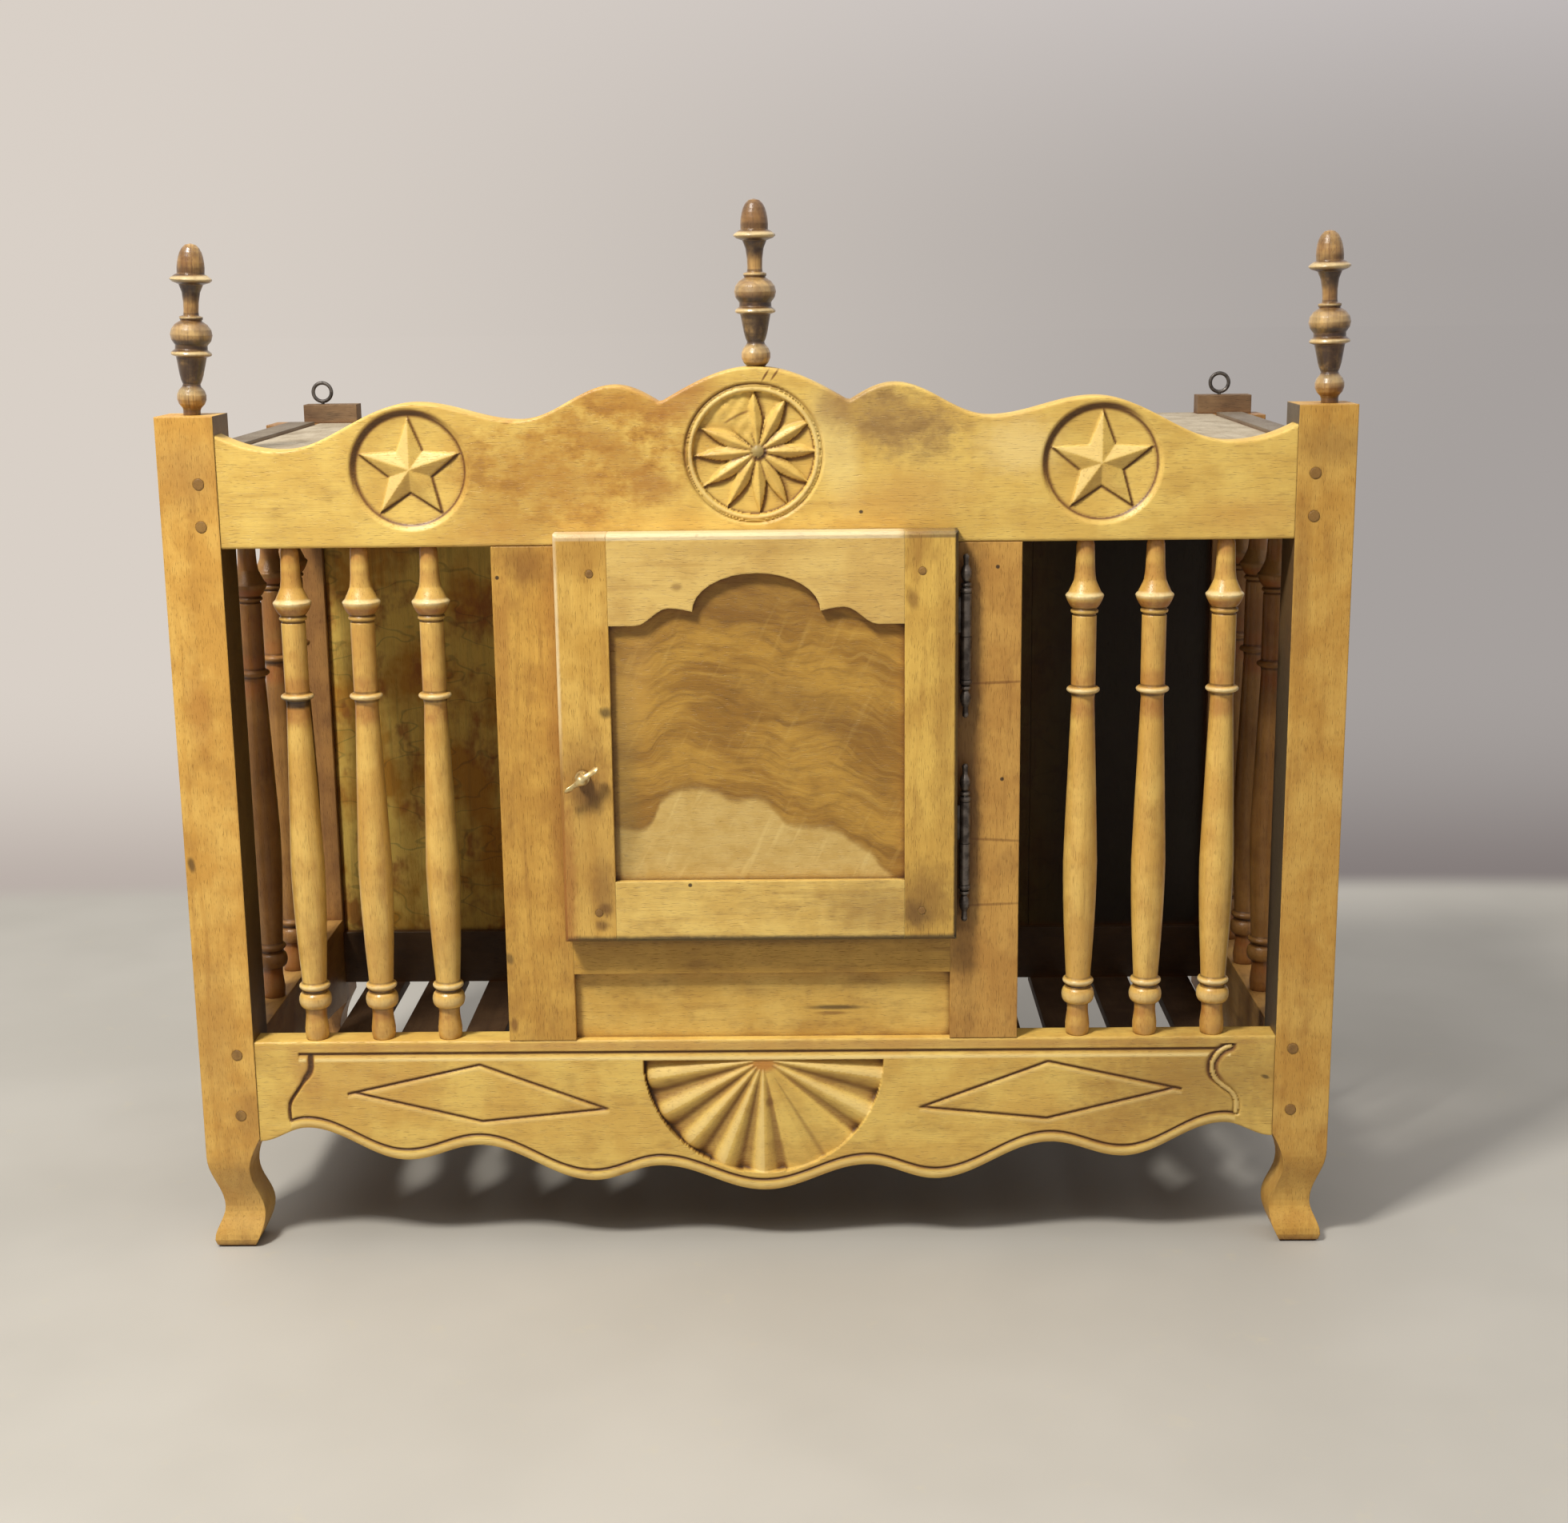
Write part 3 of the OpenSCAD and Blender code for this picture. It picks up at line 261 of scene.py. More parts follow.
def wood(name, grain, pale, mid, dark, seed, heart=(60.0, 150.0), ring=6.0, figure=0.4, patch=0.8,
         corner_wax_and_shade=0.7, gloss=0.42, edge_rub_and_highlight=0.3, marks=(), paint=None, carved=False, coat=0.0):
    """Waxed wood with its grain along one axis.

    The growth rings run round the heart, which stands beside and behind the piece. Each
    mark is a stain, a nail hole or a painted shadow: x, z, half sizes, tint and share. A
    mark with an edge of its own also has how soft, leaning and torn that is.
    """
    s = Shader(name)
    along, side, deep = {"x": (s.x, s.z, s.y), "y": (s.y, s.x, s.z), "z": (s.z, s.x, s.y)}[grain]

    def drawn(length, width, detail, rough, offset):
        return s.noise(along / length, side / width, deep / width, detail, rough, seed + offset)

    sway = drawn(190.0, 80.0, 2.0, 0.5, 0.0) - 0.5
    far_side = side - heart[0] + sway * 26.0
    far_deep = deep - heart[1] + along * 0.03
    radius = (far_side * far_side + far_deep * far_deep).root()
    growth = s.noise(radius / ring, along / 900.0, 0.0, 3.0, 0.6, seed=seed + 5.0)
    fibre = drawn(38.0, 1.1, 3.0, 0.6, 11.0)
    streak = drawn(110.0, 9.0, 3.0, 0.55, 23.0)
    flecks = drawn(7.0, 0.6, 1.0, 0.5, 37.0)
    cloud = s.blotches(46.0, 4.0, 0.62, seed + 51.0)
    wax = drawn(44.0, 20.0, 4.0, 0.62, 67.0)
    pore = flecks.step(0.6, 0.76)
    colour = s.mix(cloud.step(0.36, 0.62) * patch, pale, mid)
    colour = s.mix(growth.step(0.42, 0.72) * figure, colour, mid)
    colour = s.mix(wax.step(0.48, 0.74) * patch * 0.5, colour, dark)
    colour = s.mix(growth.step(0.58, 0.74) * streak.step(0.3, 0.7) * figure * 0.6, colour, dark)
    colour = s.mix(streak.step(0.56, 0.8) * 0.3, colour, dark)
    colour = s.mix(fibre.step(0.5, 0.82) * 0.25, colour, dark)
    colour = s.mix(wax.step(0.42, 0.24) * 0.35, colour, shade(pale, 1.16))
    colour = s.mix(pore * 0.28, colour, dark)
    if paint:
        colour = paint(s, colour)
    for x, z, half_x, half_z, tint, share, *edge in marks:
        colour = s.mix(s.oval(x, z, half_x, half_z, *(edge or MARK_EDGE)) * share, colour, tint)
    rounded = s.node("ShaderNodeBevel", {"samples": 4}, {"Radius": ARRIS_R * MM})
    face = s.node("ShaderNodeNewGeometry", out="Normal")
    flat = s.node("ShaderNodeVectorMath", {"operation": "DOT_PRODUCT"}, {0: rounded, 1: face}, "Value")
    # Rubbed pale edges with a painted highlight along every arris.
    arris = flat.step(0.99, 0.86) * cloud.step(0.25, 0.6)
    colour = s.mix(arris * edge_rub_and_highlight, colour, shade(pale, 1.3))
    # Painted shade: old wax and shade darken faces that stand close to other faces.
    wax_and_shade = s.nook(CORNER_REACH).step(0.82, 0.3) * corner_wax_and_shade
    if carved:
        # Carvings hold old wax and painted shade above 0, and rubbing with a painted highlight below 0.
        carved_wax_shade_highlight = s.node("ShaderNodeAttribute", {"attribute_name": "wax_and_shade"}, out="Fac")
        colour = s.mix((carved_wax_shade_highlight * -1.0).most(0.0).least(1.0) * 0.8, colour, RUB_AND_HIGHLIGHT)
        wax_and_shade = wax_and_shade.most(carved_wax_shade_highlight * (fibre * 0.5 + 0.75)).least(1.0)
    colour = s.mix(wax_and_shade.step(0.0, 0.75) * 0.9, colour, WAX_AND_SHADE_BROWN)
    colour = s.mix(wax_and_shade.step(0.5, 1.0) * 0.85, colour, WAX_AND_SHADE_BLACK)
    s.plug(s.surface.inputs["Coat Weight"], coat)
    s.plug(s.surface.inputs["Coat Roughness"], COAT_ROUGH)
    relief = fibre * 0.5 + growth * 0.3 - pore * 0.7 + cloud * 0.9
    rough = cloud * 0.2 + (gloss - 0.08) + pore * 0.1
    return s.finish(colour, rough, relief, WOOD_RELIEF, normal=rounded)


def dress(names, material):
    """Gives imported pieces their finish."""
    for name in names:
        finishes = nodes[name].data.materials
        finishes.clear()
        finishes.append(material)


def stained_and_shaded_side(out, tint, low=0.0):
    """Paints shade, with a dark stain, on the face of an upright that looks to its right (1) or to its left
    (-1).
    """
    def paint(s, colour):
        shaded_side_mask = (s.facing(0) * float(out)).step(0.45, 0.9) * s.z.step(low - 1.0, low + 14.0)
        return s.mix(shaded_side_mask * 0.92, colour, tint)
    return paint


STAIN = linear(112, 64, 22)
RED_BROWN = linear(158, 86, 36)
SOOT = linear(42, 26, 14)
HONEY = linear(232, 184, 92)
HONEY_MID = linear(208, 152, 64)
HONEY_DARK = linear(150, 96, 34)
POST_BROWN = linear(170, 122, 64)

dress(["front_post_left"], wood(
    "post_left", "z", HONEY, HONEY_MID, HONEY_DARK, 3.0, paint=stained_and_shaded_side(1, linear(66, 46, 26), 92.0), marks=[
        (-470, 341, 3, 6, SOOT, 0.7, 0.5, 10, 0.5),
        (-455, 470, 9, 30, RED_BROWN, 0.3, 0.6, 4, 0.8),
        (-452, 664, 30, 26, linear(170, 120, 60), 0.5),
        (-448, 38, 30, 44, linear(172, 134, 76), 0.45),
        (-462, 190, 16, 60, linear(176, 130, 66), 0.4, 0.8, 0, 1.0),
        (-436, 120, 12, 24, linear(150, 104, 52), 0.45)]))
# The right post has the left one's honey at 0.86: painted shade, for it stands farther from the light.
dress(["front_post_right"], wood(
    "post_right", "z", shade(HONEY, 0.86), shade(HONEY_MID, 0.86), HONEY_DARK, 61.0,
    paint=stained_and_shaded_side(-1, linear(58, 54, 48), 92.0), marks=[
        (455, 676, 26, 14, linear(140, 96, 44), 0.5),
        (434, 560, 7, 60, linear(150, 104, 48), 0.4)]))
dress(["rear_post_left", "rear_post_right"],
      wood("post_rear", "z", POST_BROWN, linear(136, 92, 46), linear(84, 52, 24), 17.0))


# Side rails and side spindles
# Each side has an upper and a lower rail tenoned into the posts and three turned
# spindles between them. They face away from the light, and their darker colours are
# painted shade.

SIDE_BROWN = linear(168, 122, 64)
SIDE_MID = linear(138, 94, 46)
SIDE_DARK = linear(76, 48, 22)
# Heights of grooves, of stained bands (the one at 550 is painted shade under the lip) and of rims with a
# painted highlight.
TURNED_LINES = ((213.2, 1.0, 0.5), (228.7, 1.1, 1.0), (235.9, 0.9, 0.6), (476.2, 1.2, 0.7),
                (483.4, 1.0, 0.6), (541.6, 0.9, 0.6), (546.2, 1.4, 0.8))
TURNED_BANDS = ((194.0, 10.0, 0.3), (208.0, 6.0, 0.5), (466.0, 9.0, 0.55), (489.0, 8.0, 0.45),
                (518.0, 18.0, 0.2), (550.0, 3.6, 0.7), (577.0, 7.0, 0.35), (598.0, 9.0, 0.55))
TURNED_RIM_HIGHLIGHTS = ((220.4, 3.4, 0.3), (232.6, 1.6, 0.7), (479.8, 1.8, 0.75), (557.6, 2.4, 0.8))


# Painted highlight for rubbed rims, and old wax with painted shade for grooves.
RIM_HIGHLIGHT = linear(246, 222, 164)
GROOVE_WAX_AND_SHADE = linear(58, 33, 13)


def turned(lines, bands, rim_highlights, at=0.0, band_stain_and_shade=RED_BROWN):
    """Old wax and painted shade in the turner's grooves, stained bands, some of them painted
    shade under lips, and painted highlights on rubbed rims, by height.
    """
    def paint(s, colour):
        uneven = s.blotches(9.0, 3.0, 0.6, 83.0).step(0.25, 0.6)
        for tint, places in ((band_stain_and_shade, bands), (RIM_HIGHLIGHT, rim_highlights), (GROOVE_WAX_AND_SHADE, lines)):
            for z, half, share in places:
                band = abs(s.z - (z + at)).step(half * 1.5, half * 0.3)
                colour = s.mix(band * (uneven * 0.5 + 0.5) * share, colour, tint)
        return colour
    return paint


dress(["side_top_rail_left", "side_top_rail_right"],
      wood("side_top_rail", "y", linear(128, 114, 92), linear(104, 88, 66), SIDE_DARK, 25.0))
dress(["side_bottom_rail_left", "side_bottom_rail_right"],
      wood("side_bottom_rail", "y", linear(190, 146, 80), SIDE_BROWN, SIDE_DARK, 26.0))
dress(["%s_spindle_%d" % (side, i) for side in ("left", "right") for i in (1, 2, 3)],
      wood("side_spindle", "z", SIDE_BROWN, SIDE_MID, SIDE_DARK, 21.0, corner_wax_and_shade=0.8, gloss=0.34,
           paint=turned(TURNED_LINES, TURNED_BANDS, ())))


# Muntins, sill and lower panel
# Two uprights frame the door opening. A sill rail ties them together under the door,
# and a thin plain panel fills the space between the sill and the apron.

AMBER_DARK = linear(132, 84, 34)


def nail_hole(x, z):
    return (x, z, 1.6, 1.6, SOOT, 0.9, 0.3, 0, 0)


dress(["muntin_left"], wood(
    "muntin_left", "z", linear(218, 170, 78), linear(188, 137, 56), AMBER_DARK, 9.0,
    paint=stained_and_shaded_side(-1, linear(70, 48, 26)), marks=[
        (-186, 590, 24, 18, STAIN, 0.5, 0.7, -30, 0.9),
        (-206, 520, 7, 60, linear(168, 112, 48), 0.5),
        nail_hole(-208, 577),
        (-166, 440, 5, 150, linear(150, 98, 40), 0.45, 0.9, 0, 0.8),
        (-210, 258, 3, 5, SOOT, 0.6, 0.5, 20, 0.6),
        (-208, 200, 3, 6, STAIN, 0.7, 0.5, 0, 0.6)]))
dress(["muntin_right"], wood(
    "muntin_right", "z", linear(208, 158, 78), linear(184, 132, 60), AMBER_DARK, 29.0,
    paint=stained_and_shaded_side(1, linear(50, 34, 18)), marks=[
        # A painted shadow of the door and its hinges down the muntin.
        (170, 440, 12, 190, linear(96, 60, 24), 0.65, 0.7, 0, 0.8),
        nail_hole(193, 582),
        nail_hole(198, 408),
        (192, 488, 26, 1.1, STAIN, 0.6, 0.5, 2, 0.7),
        (192, 357, 26, 1.1, STAIN, 0.5, 0.5, -3, 0.7),
        (192, 302, 26, 1.1, STAIN, 0.5, 0.5, 2, 0.7)]))
# The dark band under the door is a painted shadow of the door on the sill.
dress(["sill_rail"], wood("sill", "x", linear(220, 172, 78), linear(198, 150, 62), AMBER_DARK, 13.0,
                          marks=[(0, 275, 170, 6, linear(96, 62, 24), 0.6, 0.7, 0, 0.6)]))
dress(["lower_panel"], wood(
    "lower_panel", "x", linear(230, 190, 98), linear(210, 164, 74), AMBER_DARK, 15.0, figure=0.5,
    ring=9.0, marks=[
        (62, 211, 22, 1.8, SOOT, 0.75, 0.6, 0, 0.5),
        (58, 206, 12, 1.6, STAIN, 0.6, 0.6, 0, 0.5)]))


# Front spindles
# Six turned spindles, three in each bay, with a plain upper shaft, beads and a collar
# over a swelling lower shaft. They are tenoned into the crest and the apron.

SPINDLE = linear(232, 190, 100)
SPINDLE_MID = linear(208, 158, 74)
BURN = (-382, 475, 30, 4.5, SOOT, 0.85, 0.35, 0, 0.25)

for kind, numbers, marks in (("spindle", range(2, 7), []), ("burnt_spindle", [1], [BURN])):
    dress(["front_spindle_%d" % i for i in numbers],
          wood(kind, "z", SPINDLE, SPINDLE_MID, HONEY_DARK, 19.0, corner_wax_and_shade=0.85, gloss=0.32, marks=marks,
               coat=0.25, paint=turned(TURNED_LINES, TURNED_BANDS, TURNED_RIM_HIGHLIGHTS)))


# Crest rail
# A walnut board sawn to scallops and carved by hand: a raised star in each of two round
# hollows, and a twelve-petalled rosette inside a raised ring in the middle.

CREST_LOW = 602.0
BOARD_FRONT = 1.0
BOARD_BACK = 25.0
POST_INSIDE = 428.5
STAR_X = 275.0
STAR_Z = 663.5
STAR_TIP = 40.0
STAR_EDGE = (0.361, 0.932)
STAR_FACING = 68.8
CROWN_HALF = 75.0
CROWN_RISE = 27.5
SHOULDER = 112.0
SHOULDER_END = 111.0
SHOULDER_RISE = 14.0
CREST_KNOTS = ((111.0, 126.0), (187.0, 99.5), (270.0, 114.0), (378.5, 77.5))
END_HOLLOW = (50.0, 13.0)
FIELD_R = 43.5
FIELD_LIP = 48.8
RING_X = -0.8
RING_Z = 673.9
RING_R = 50.6
RING_HALF = 2.4
GROOVE_R = 54.5
GROOVE_HALF = 1.9
FLOWER_FIELD_R = 48.2
PETAL_HALF = 5.2
PETAL_TAPER_FROM = 23.0
PETAL_TAPER = 24.6
BOSS_R = 4.6
FLOWER_X = 3.2
FLOWER_Z = 1.3
PETAL_ANGLES = (0.0, 29.6, 61.3, 93.6, 124.0, 157.6, 183.8, 212.3, 240.6, 271.5, 299.0, 328.3)
LIGHT_FROM = 127.0


def spread(start, *spans):
    """Places from the start on, where each span gives its end and the gap between places."""
    places = [start]
    for end, gap in spans:
        first = places[-1]
        count = max(1, round(abs(end - first) / gap))
        places += [first + (end - first) * i / count for i in range(1, count + 1)]
    return places


def ease(share):
    share = max(0.0, min(1.0, share))
    return share * share * (3.0 - 2.0 * share)


def hill(gap, width):
    """1 on top of a soft round hill, and nearly 0 at twice its width from there."""
    return math.exp(-(gap / width) ** 2)


def swing(share):
    return 0.5 - 0.5 * math.cos(math.pi * max(0.0, min(1.0, share)))


def wavy(knots, x):
    """The height at x of a line that swings softly from knot to knot."""
    for (x0, z0), (x1, z1) in zip(knots, knots[1:]):
        if x <= x1:
            return z0 + (z1 - z0) * swing((x - x0) / (x1 - x0))
    return knots[-1][1]


def crest_top(x):
    """The upper edge: a crown between two shoulders, then waves that end in hollows."""
    x = abs(x)
    if x < CROWN_HALF:
        return CREST_LOW + SHOULDER + CROWN_RISE * math.cos(math.radians(90.0 * x / CROWN_HALF))
    if x < SHOULDER_END:
        share = (x - CROWN_HALF) / (SHOULDER_END - CROWN_HALF)
        return CREST_LOW + SHOULDER + SHOULDER_RISE * math.sin(math.radians(90.0 * share))
    last_x, last_z = CREST_KNOTS[-1]
    if x < last_x:
        return CREST_LOW + wavy(CREST_KNOTS, x)
    return CREST_LOW + last_z + END_HOLLOW[1] * ((x - last_x) / END_HOLLOW[0]) ** 2


def fold(reach, angle, directions):
    """Angle from the nearest of some directions, its own, and the way along and beside it."""
    offsets = [((angle - d + 180.0) % 360.0 - 180.0, d) for d in directions]
    off, tip = min(offsets, key=lambda pair: abs(pair[0]))
    return off, tip, reach * math.cos(math.radians(off)), abs(reach * math.sin(math.radians(off)))


def shadow_side(angle):
    """1 where a slope that faces an angle has the light behind it and 0 where it is lit."""
    return 0.5 - 0.5 * math.cos(math.radians(angle - LIGHT_FROM))


def star_cut(dx, dz):
    """Depth below the board's face, and old wax with painted shade, in a star's round hollow.

    Wax and painted shade run from 1, where they are black, to below 0, where the wood is
    rubbed pale and carries a painted highlight.
    """
    reach = math.hypot(dx, dz)
    angle = math.degrees(math.atan2(dz, dx))
    # Walls and facets turned from the light get painted shade, lit facets a painted highlight.
    dark = shadow_side(angle + 180.0)
    if reach > FIELD_R:
        wall = (FIELD_LIP - reach) / (FIELD_LIP - FIELD_R)
        foot = hill(reach - FIELD_R - 0.6, 1.3)
        return 3.6 * max(0.0, wall), max(foot * 0.75, ease(wall * 2.0) * ease(dark * 2.2 - 0.9) * 0.8)
    hollow = 3.8 + 2.0 * (1.0 - (reach / FIELD_R) ** 2)
    wax = hill(FIELD_R - reach, 2.0) * (0.35 + 0.4 * dark)
    off, tip, u, v = fold(reach, angle, [90.0 + 72.0 * i for i in range(5)])
    outside = (u - STAR_TIP) * STAR_EDGE[0] + v * STAR_EDGE[1]
    facet = 0.3 + 0.035 * u + 0.36 * math.sqrt(v * v + 0.4)
    facing = tip + math.copysign(STAR_FACING, off)
    shaded = shadow_side(facing)
    if outside <= 0.0:
        return facet, 0.3 * ease(shaded * 1.6 - 0.6) - 0.55 * ease(1.2 - shaded * 2.4)
    foot = hill(outside - 1.0, 1.5) * (0.15 + 0.7 * ease(shaded * 1.6 - 0.3))
    return min(hollow, facet + outside * 3.0), max(wax, foot)


def rosette_cut(dx, dz):
    """Depth below the board's face and old wax with painted shade, in the rosette and its ring."""
    reach = math.hypot(dx, dz)
    angle = math.degrees(math.atan2(dz, dx))
    dark = shadow_side(angle + 180.0)
    # Painted shade on the groove, petals and pockets turned from the light; painted highlight on the ring's
    # crown and lit petals.
    if reach > RING_R + RING_HALF:
        groove = max(0.0, 1.0 - abs(reach - GROOVE_R) / GROOVE_HALF)
        return 2.2 * groove, groove * (0.25 + 0.4 * ease(dark * 1.6 - 0.4))
    if reach > RING_R - RING_HALF:
        across_ring = reach - RING_R
        rub_and_highlight = -0.6 * ease(1.3 - abs(across_ring) * 0.7)
        return 0.3 + 1.8 * (across_ring / RING_HALF) ** 2, rub_and_highlight
    hollow = 5.4 + 0.8 * (1.0 - (reach / FLOWER_FIELD_R) ** 2)
    wax = hill(FLOWER_FIELD_R - reach, 1.8) * (0.15 + 0.55 * ease(1.3 - dark * 1.6))
    px, pz = dx - FLOWER_X, dz - FLOWER_Z
    q = math.hypot(px, pz)
    at = math.degrees(math.atan2(pz, px))
    off, tip, u, v = fold(q, at, PETAL_ANGLES)
    wide = max(0.3, min(PETAL_HALF, u * 0.25))
    if u > PETAL_TAPER_FROM:
        taper = min(1.0, (u - PETAL_TAPER_FROM) / PETAL_TAPER)
        wide = PETAL_HALF * max(0.0, math.cos(math.radians(90.0 * taper)))
    ridge = 0.7 + 1.5 * (1.0 - ease(u / 20.0)) + 2.2 * ease((u - 34.0) / 15.0)
    rim = ridge + 3.0 * min(1.0, wide / PETAL_HALF) ** 0.7
    shaded = shadow_side(tip + math.copysign(82.0, off))
    if v <= wide:
        depth = ridge + (rim - ridge) * math.sqrt(v * v + 0.1) / max(wide, 0.4)
        here = 0.3 * ease(shaded * 1.6 - 0.6) - 0.9 * ease(1.3 - shaded * 2.0)
        here = max(here, ease((v / max(wide, 0.4) - 0.6) * 3.0) * ease((28.0 - u) / 10.0) * 0.6)
        wax = here if here > 0.05 else min(here, -0.4 * hill(v, 0.8))
    else:
        depth = min(hollow, rim + (v - wide) * 3.2)
        pocket = hill(v - wide, 4.2) * (0.12 + 0.6 * ease(shaded * 1.7 - 0.35))
        wax = max(wax, pocket, 0.75 * ease((33.0 - u) / 8.0) * ease(shaded * 1.6))
    worn = ease((at - 96.0) / 12.0) * ease((146.0 - at) / 14.0) * ease((q - 8.0) / 12.0)
    depth += (3.2 + 0.7 * math.sin(px * 0.55) * math.sin(pz * 0.4 + 1.0) - depth) * worn * 0.8
    crack = hill(pz - 33.0 - 0.1 * px + 0.012 * px * px, 1.3) * ease((q - 22.0) / 6.0)
    wax = wax * (1.0 - worn) + 0.6 * worn * crack
    if q < BOSS_R:
        return 0.9 + 1.5 * (q / BOSS_R) ** 2, 0.25
    # Painted shade round the boss on the side turned from the light.
    under = hill(q - 5.8, 2.2) * (0.3 + 0.6 * ease(shadow_side(at) * 1.8 - 0.6))
    return depth, max(wax, under)


def crest_cut(x, z):
    for centre in (-STAR_X, STAR_X):
        if math.hypot(x - centre, z - STAR_Z) < FIELD_LIP:
            return star_cut(x - centre, z - STAR_Z)
    if math.hypot(x - RING_X, z - RING_Z) < GROOVE_R + GROOVE_HALF + 0.4:
        return rosette_cut(x - RING_X, z - RING_Z)
    return 0.0, 0.0


def piece_of(shape, name, crease=38.0):
    """Makes a smooth object of a finished shape."""
    mesh = bpy.data.meshes.new(name)
    shape.to_mesh(mesh)
    shape.free()
    mesh.shade_smooth()
    mesh.set_sharp_from_angle(angle=math.radians(crease))
    made = bpy.data.objects.new(name, mesh)
    bpy.context.scene.collection.objects.link(made)
    return made


def carved_board(name, columns, rows, low, high, cut, arris):
    """A board whose face is a fine net of columns and rows, cut back by the carver's depth.

    A row (a, b, c) runs at a times the lower edge plus b times the upper edge plus c.
    """
    shape = bmesh.new()
    wax_and_shade_layer = shape.verts.layers.float.new("wax_and_shade")
    across_n, up_n = len(columns) - 1, len(rows) - 1
    bmesh.ops.create_grid(shape, x_segments=across_n, y_segments=up_n, size=0.5)
    for spot in shape.verts:
        x = columns[round((spot.co.x + 0.5) * across_n)]
        a, b, c = rows[round((spot.co.y + 0.5) * up_n)]
        bottom, top = low(x), high(x)
        z = a * bottom + b * top + c
        depth, wax_and_shade = cut(x, z)
        gap = min(z - bottom, top - z)
        if gap < arris:
            depth = max(depth, arris - math.sqrt(max(0.0, arris ** 2 - (arris - gap) ** 2)))
        # Each point keeps its old wax and painted shade as a value above 0, and its rubbing and painted
        # highlight as one below 0.
        spot[wax_and_shade_layer] = wax_and_shade
        spot.co = (x * MM, (BOARD_FRONT + depth + POST_FACE) * MM, z * MM)
    rim = [edge for edge in shape.edges if edge.is_boundary]
    walls = bmesh.ops.extrude_edge_only(shape, edges=rim)["geom"]
    for spot in [part for part in walls if isinstance(part, bmesh.types.BMVert)]:
        spot.co.y = (BOARD_BACK + POST_FACE) * MM
        spot[wax_and_shade_layer] = 0.0
    back = [edge for edge in shape.edges if edge.is_boundary]
    bmesh.ops.triangle_fill(shape, use_beauty=True, edges=back)
    bmesh.ops.recalc_face_normals(shape, faces=shape.faces)
    return piece_of(shape, name)


EDGE_ROWS = (0.0, 0.4, 1.0, 1.8, 3.0)
crest_columns = spread(-POST_INSIDE, (-326.0, 3.0), (-224.0, 0.9), (-64.0, 3.0), (64.0, 0.85),
                       (224.0, 3.0), (326.0, 0.9), (POST_INSIDE, 3.0))
crest_rows = [(1.0, 0.0, o) for o in EDGE_ROWS]
crest_rows += [(1.0 - t, t, 3.0 - 6.0 * t) for t in spread(0.0, (1.0, 1.0 / 128.0))[1:-1]]
crest_rows += [(0.0, 1.0, -o) for o in reversed(EDGE_ROWS)]
crest = carved_board("crest_board", crest_columns, crest_rows, lambda x: CREST_LOW, crest_top,
                     crest_cut, 2.2)


def flamed(s, colour):
    """Brown figure round a knot, on both sides of the rosette and paler beside it."""
    flame = s.blotches((30.0, 30.0, 19.0), 5.0, 0.66, 84.0)
    fine = s.noise((s.x + s.z) / 9.0, s.y / 9.0, (s.z - s.x * 0.4) / 5.0, 4.0, 0.66, seed=86.0)
    left = s.oval(-140, 672, 96, 52, 0.4, 8)
    right = s.oval(112, 700, 58, 28, 0.5, -8)
    for side, light, deep in ((left, linear(192, 138, 54), linear(148, 96, 34)),
                              (right, linear(176, 140, 80), linear(138, 104, 54))):
        colour = s.mix(flame.step(0.4, 0.56) * side * 0.75, colour, light)
        colour = s.mix(flame.step(0.52, 0.66) * side * 0.7, colour, deep)
        colour = s.mix(fine.step(0.56, 0.7) * side * 0.4, colour, deep)
    return s.mix(s.oval(64, 678, 16, 44, 0.5, 12) * 0.5, colour, linear(246, 220, 142))


crest.data.materials.append(wood(
    "crest", "x", linear(236, 200, 106), linear(214, 170, 80), linear(160, 112, 46), 5.0,
    heart=(560.0, 120.0), ring=10.0, figure=0.3, patch=0.6, corner_wax_and_shade=0.2, carved=True, paint=flamed, marks=[
        (-56, 718, 28, 13, RED_BROWN, 0.5, 0.7, 38, 0.9),
        (-104, 716, 36, 13, linear(186, 130, 54), 0.6, 0.7, -8, 0.9),
        (-112, 676, 46, 11, linear(178, 126, 54), 0.6, 0.8, -38, 0.8),
        (-150, 652, 34, 20, linear(192, 140, 62), 0.5, 0.8, -20, 0.9),
        (-82, 648, 18, 12, linear(166, 110, 48), 0.5, 0.7, -10, 0.9),
        (-186, 644, 52, 42, linear(184, 134, 58), 0.5, 0.8, 20, 0.9),
        (-214, 612, 30, 12, linear(200, 146, 68), 0.5),
        (2.4, 675.2, 5.2, 5.2, linear(158, 146, 96), 0.75, 0.3, 0, 0),
        (104, 700, 46, 22, linear(160, 124, 70), 0.6, 0.7, -12, 0.8),
        (66, 712, 14, 16, linear(150, 106, 56), 0.5, 0.7, -20, 0.8),
        (120, 640, 50, 18, linear(196, 146, 76), 0.45, 0.8, 8, 0.9),
        (210, 678, 28, 20, linear(244, 214, 142), 0.6, 0.7, 0, 0.8),
        (392, 620, 34, 14, linear(204, 150, 72), 0.5),
        (9, 734.6, 5, 0.9, STAIN, 0.9, 0.5, 58, 0.3),
        (16.6, 735.2, 5, 0.9, STAIN, 0.85, 0.5, 54, 0.3),
        (84, 627, 1.6, 1.4, SOOT, 0.9, 0.3, 0, 0)]))
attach(crest, "case")
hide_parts("crest_rail")


# Apron rail
# A walnut board under the panel, sawn to a wavy lower edge with a bead along it. A
# nine-ribbed shell is carved deep in its middle between two incised diamonds, and an
# incised line frames them and turns down at both ends.

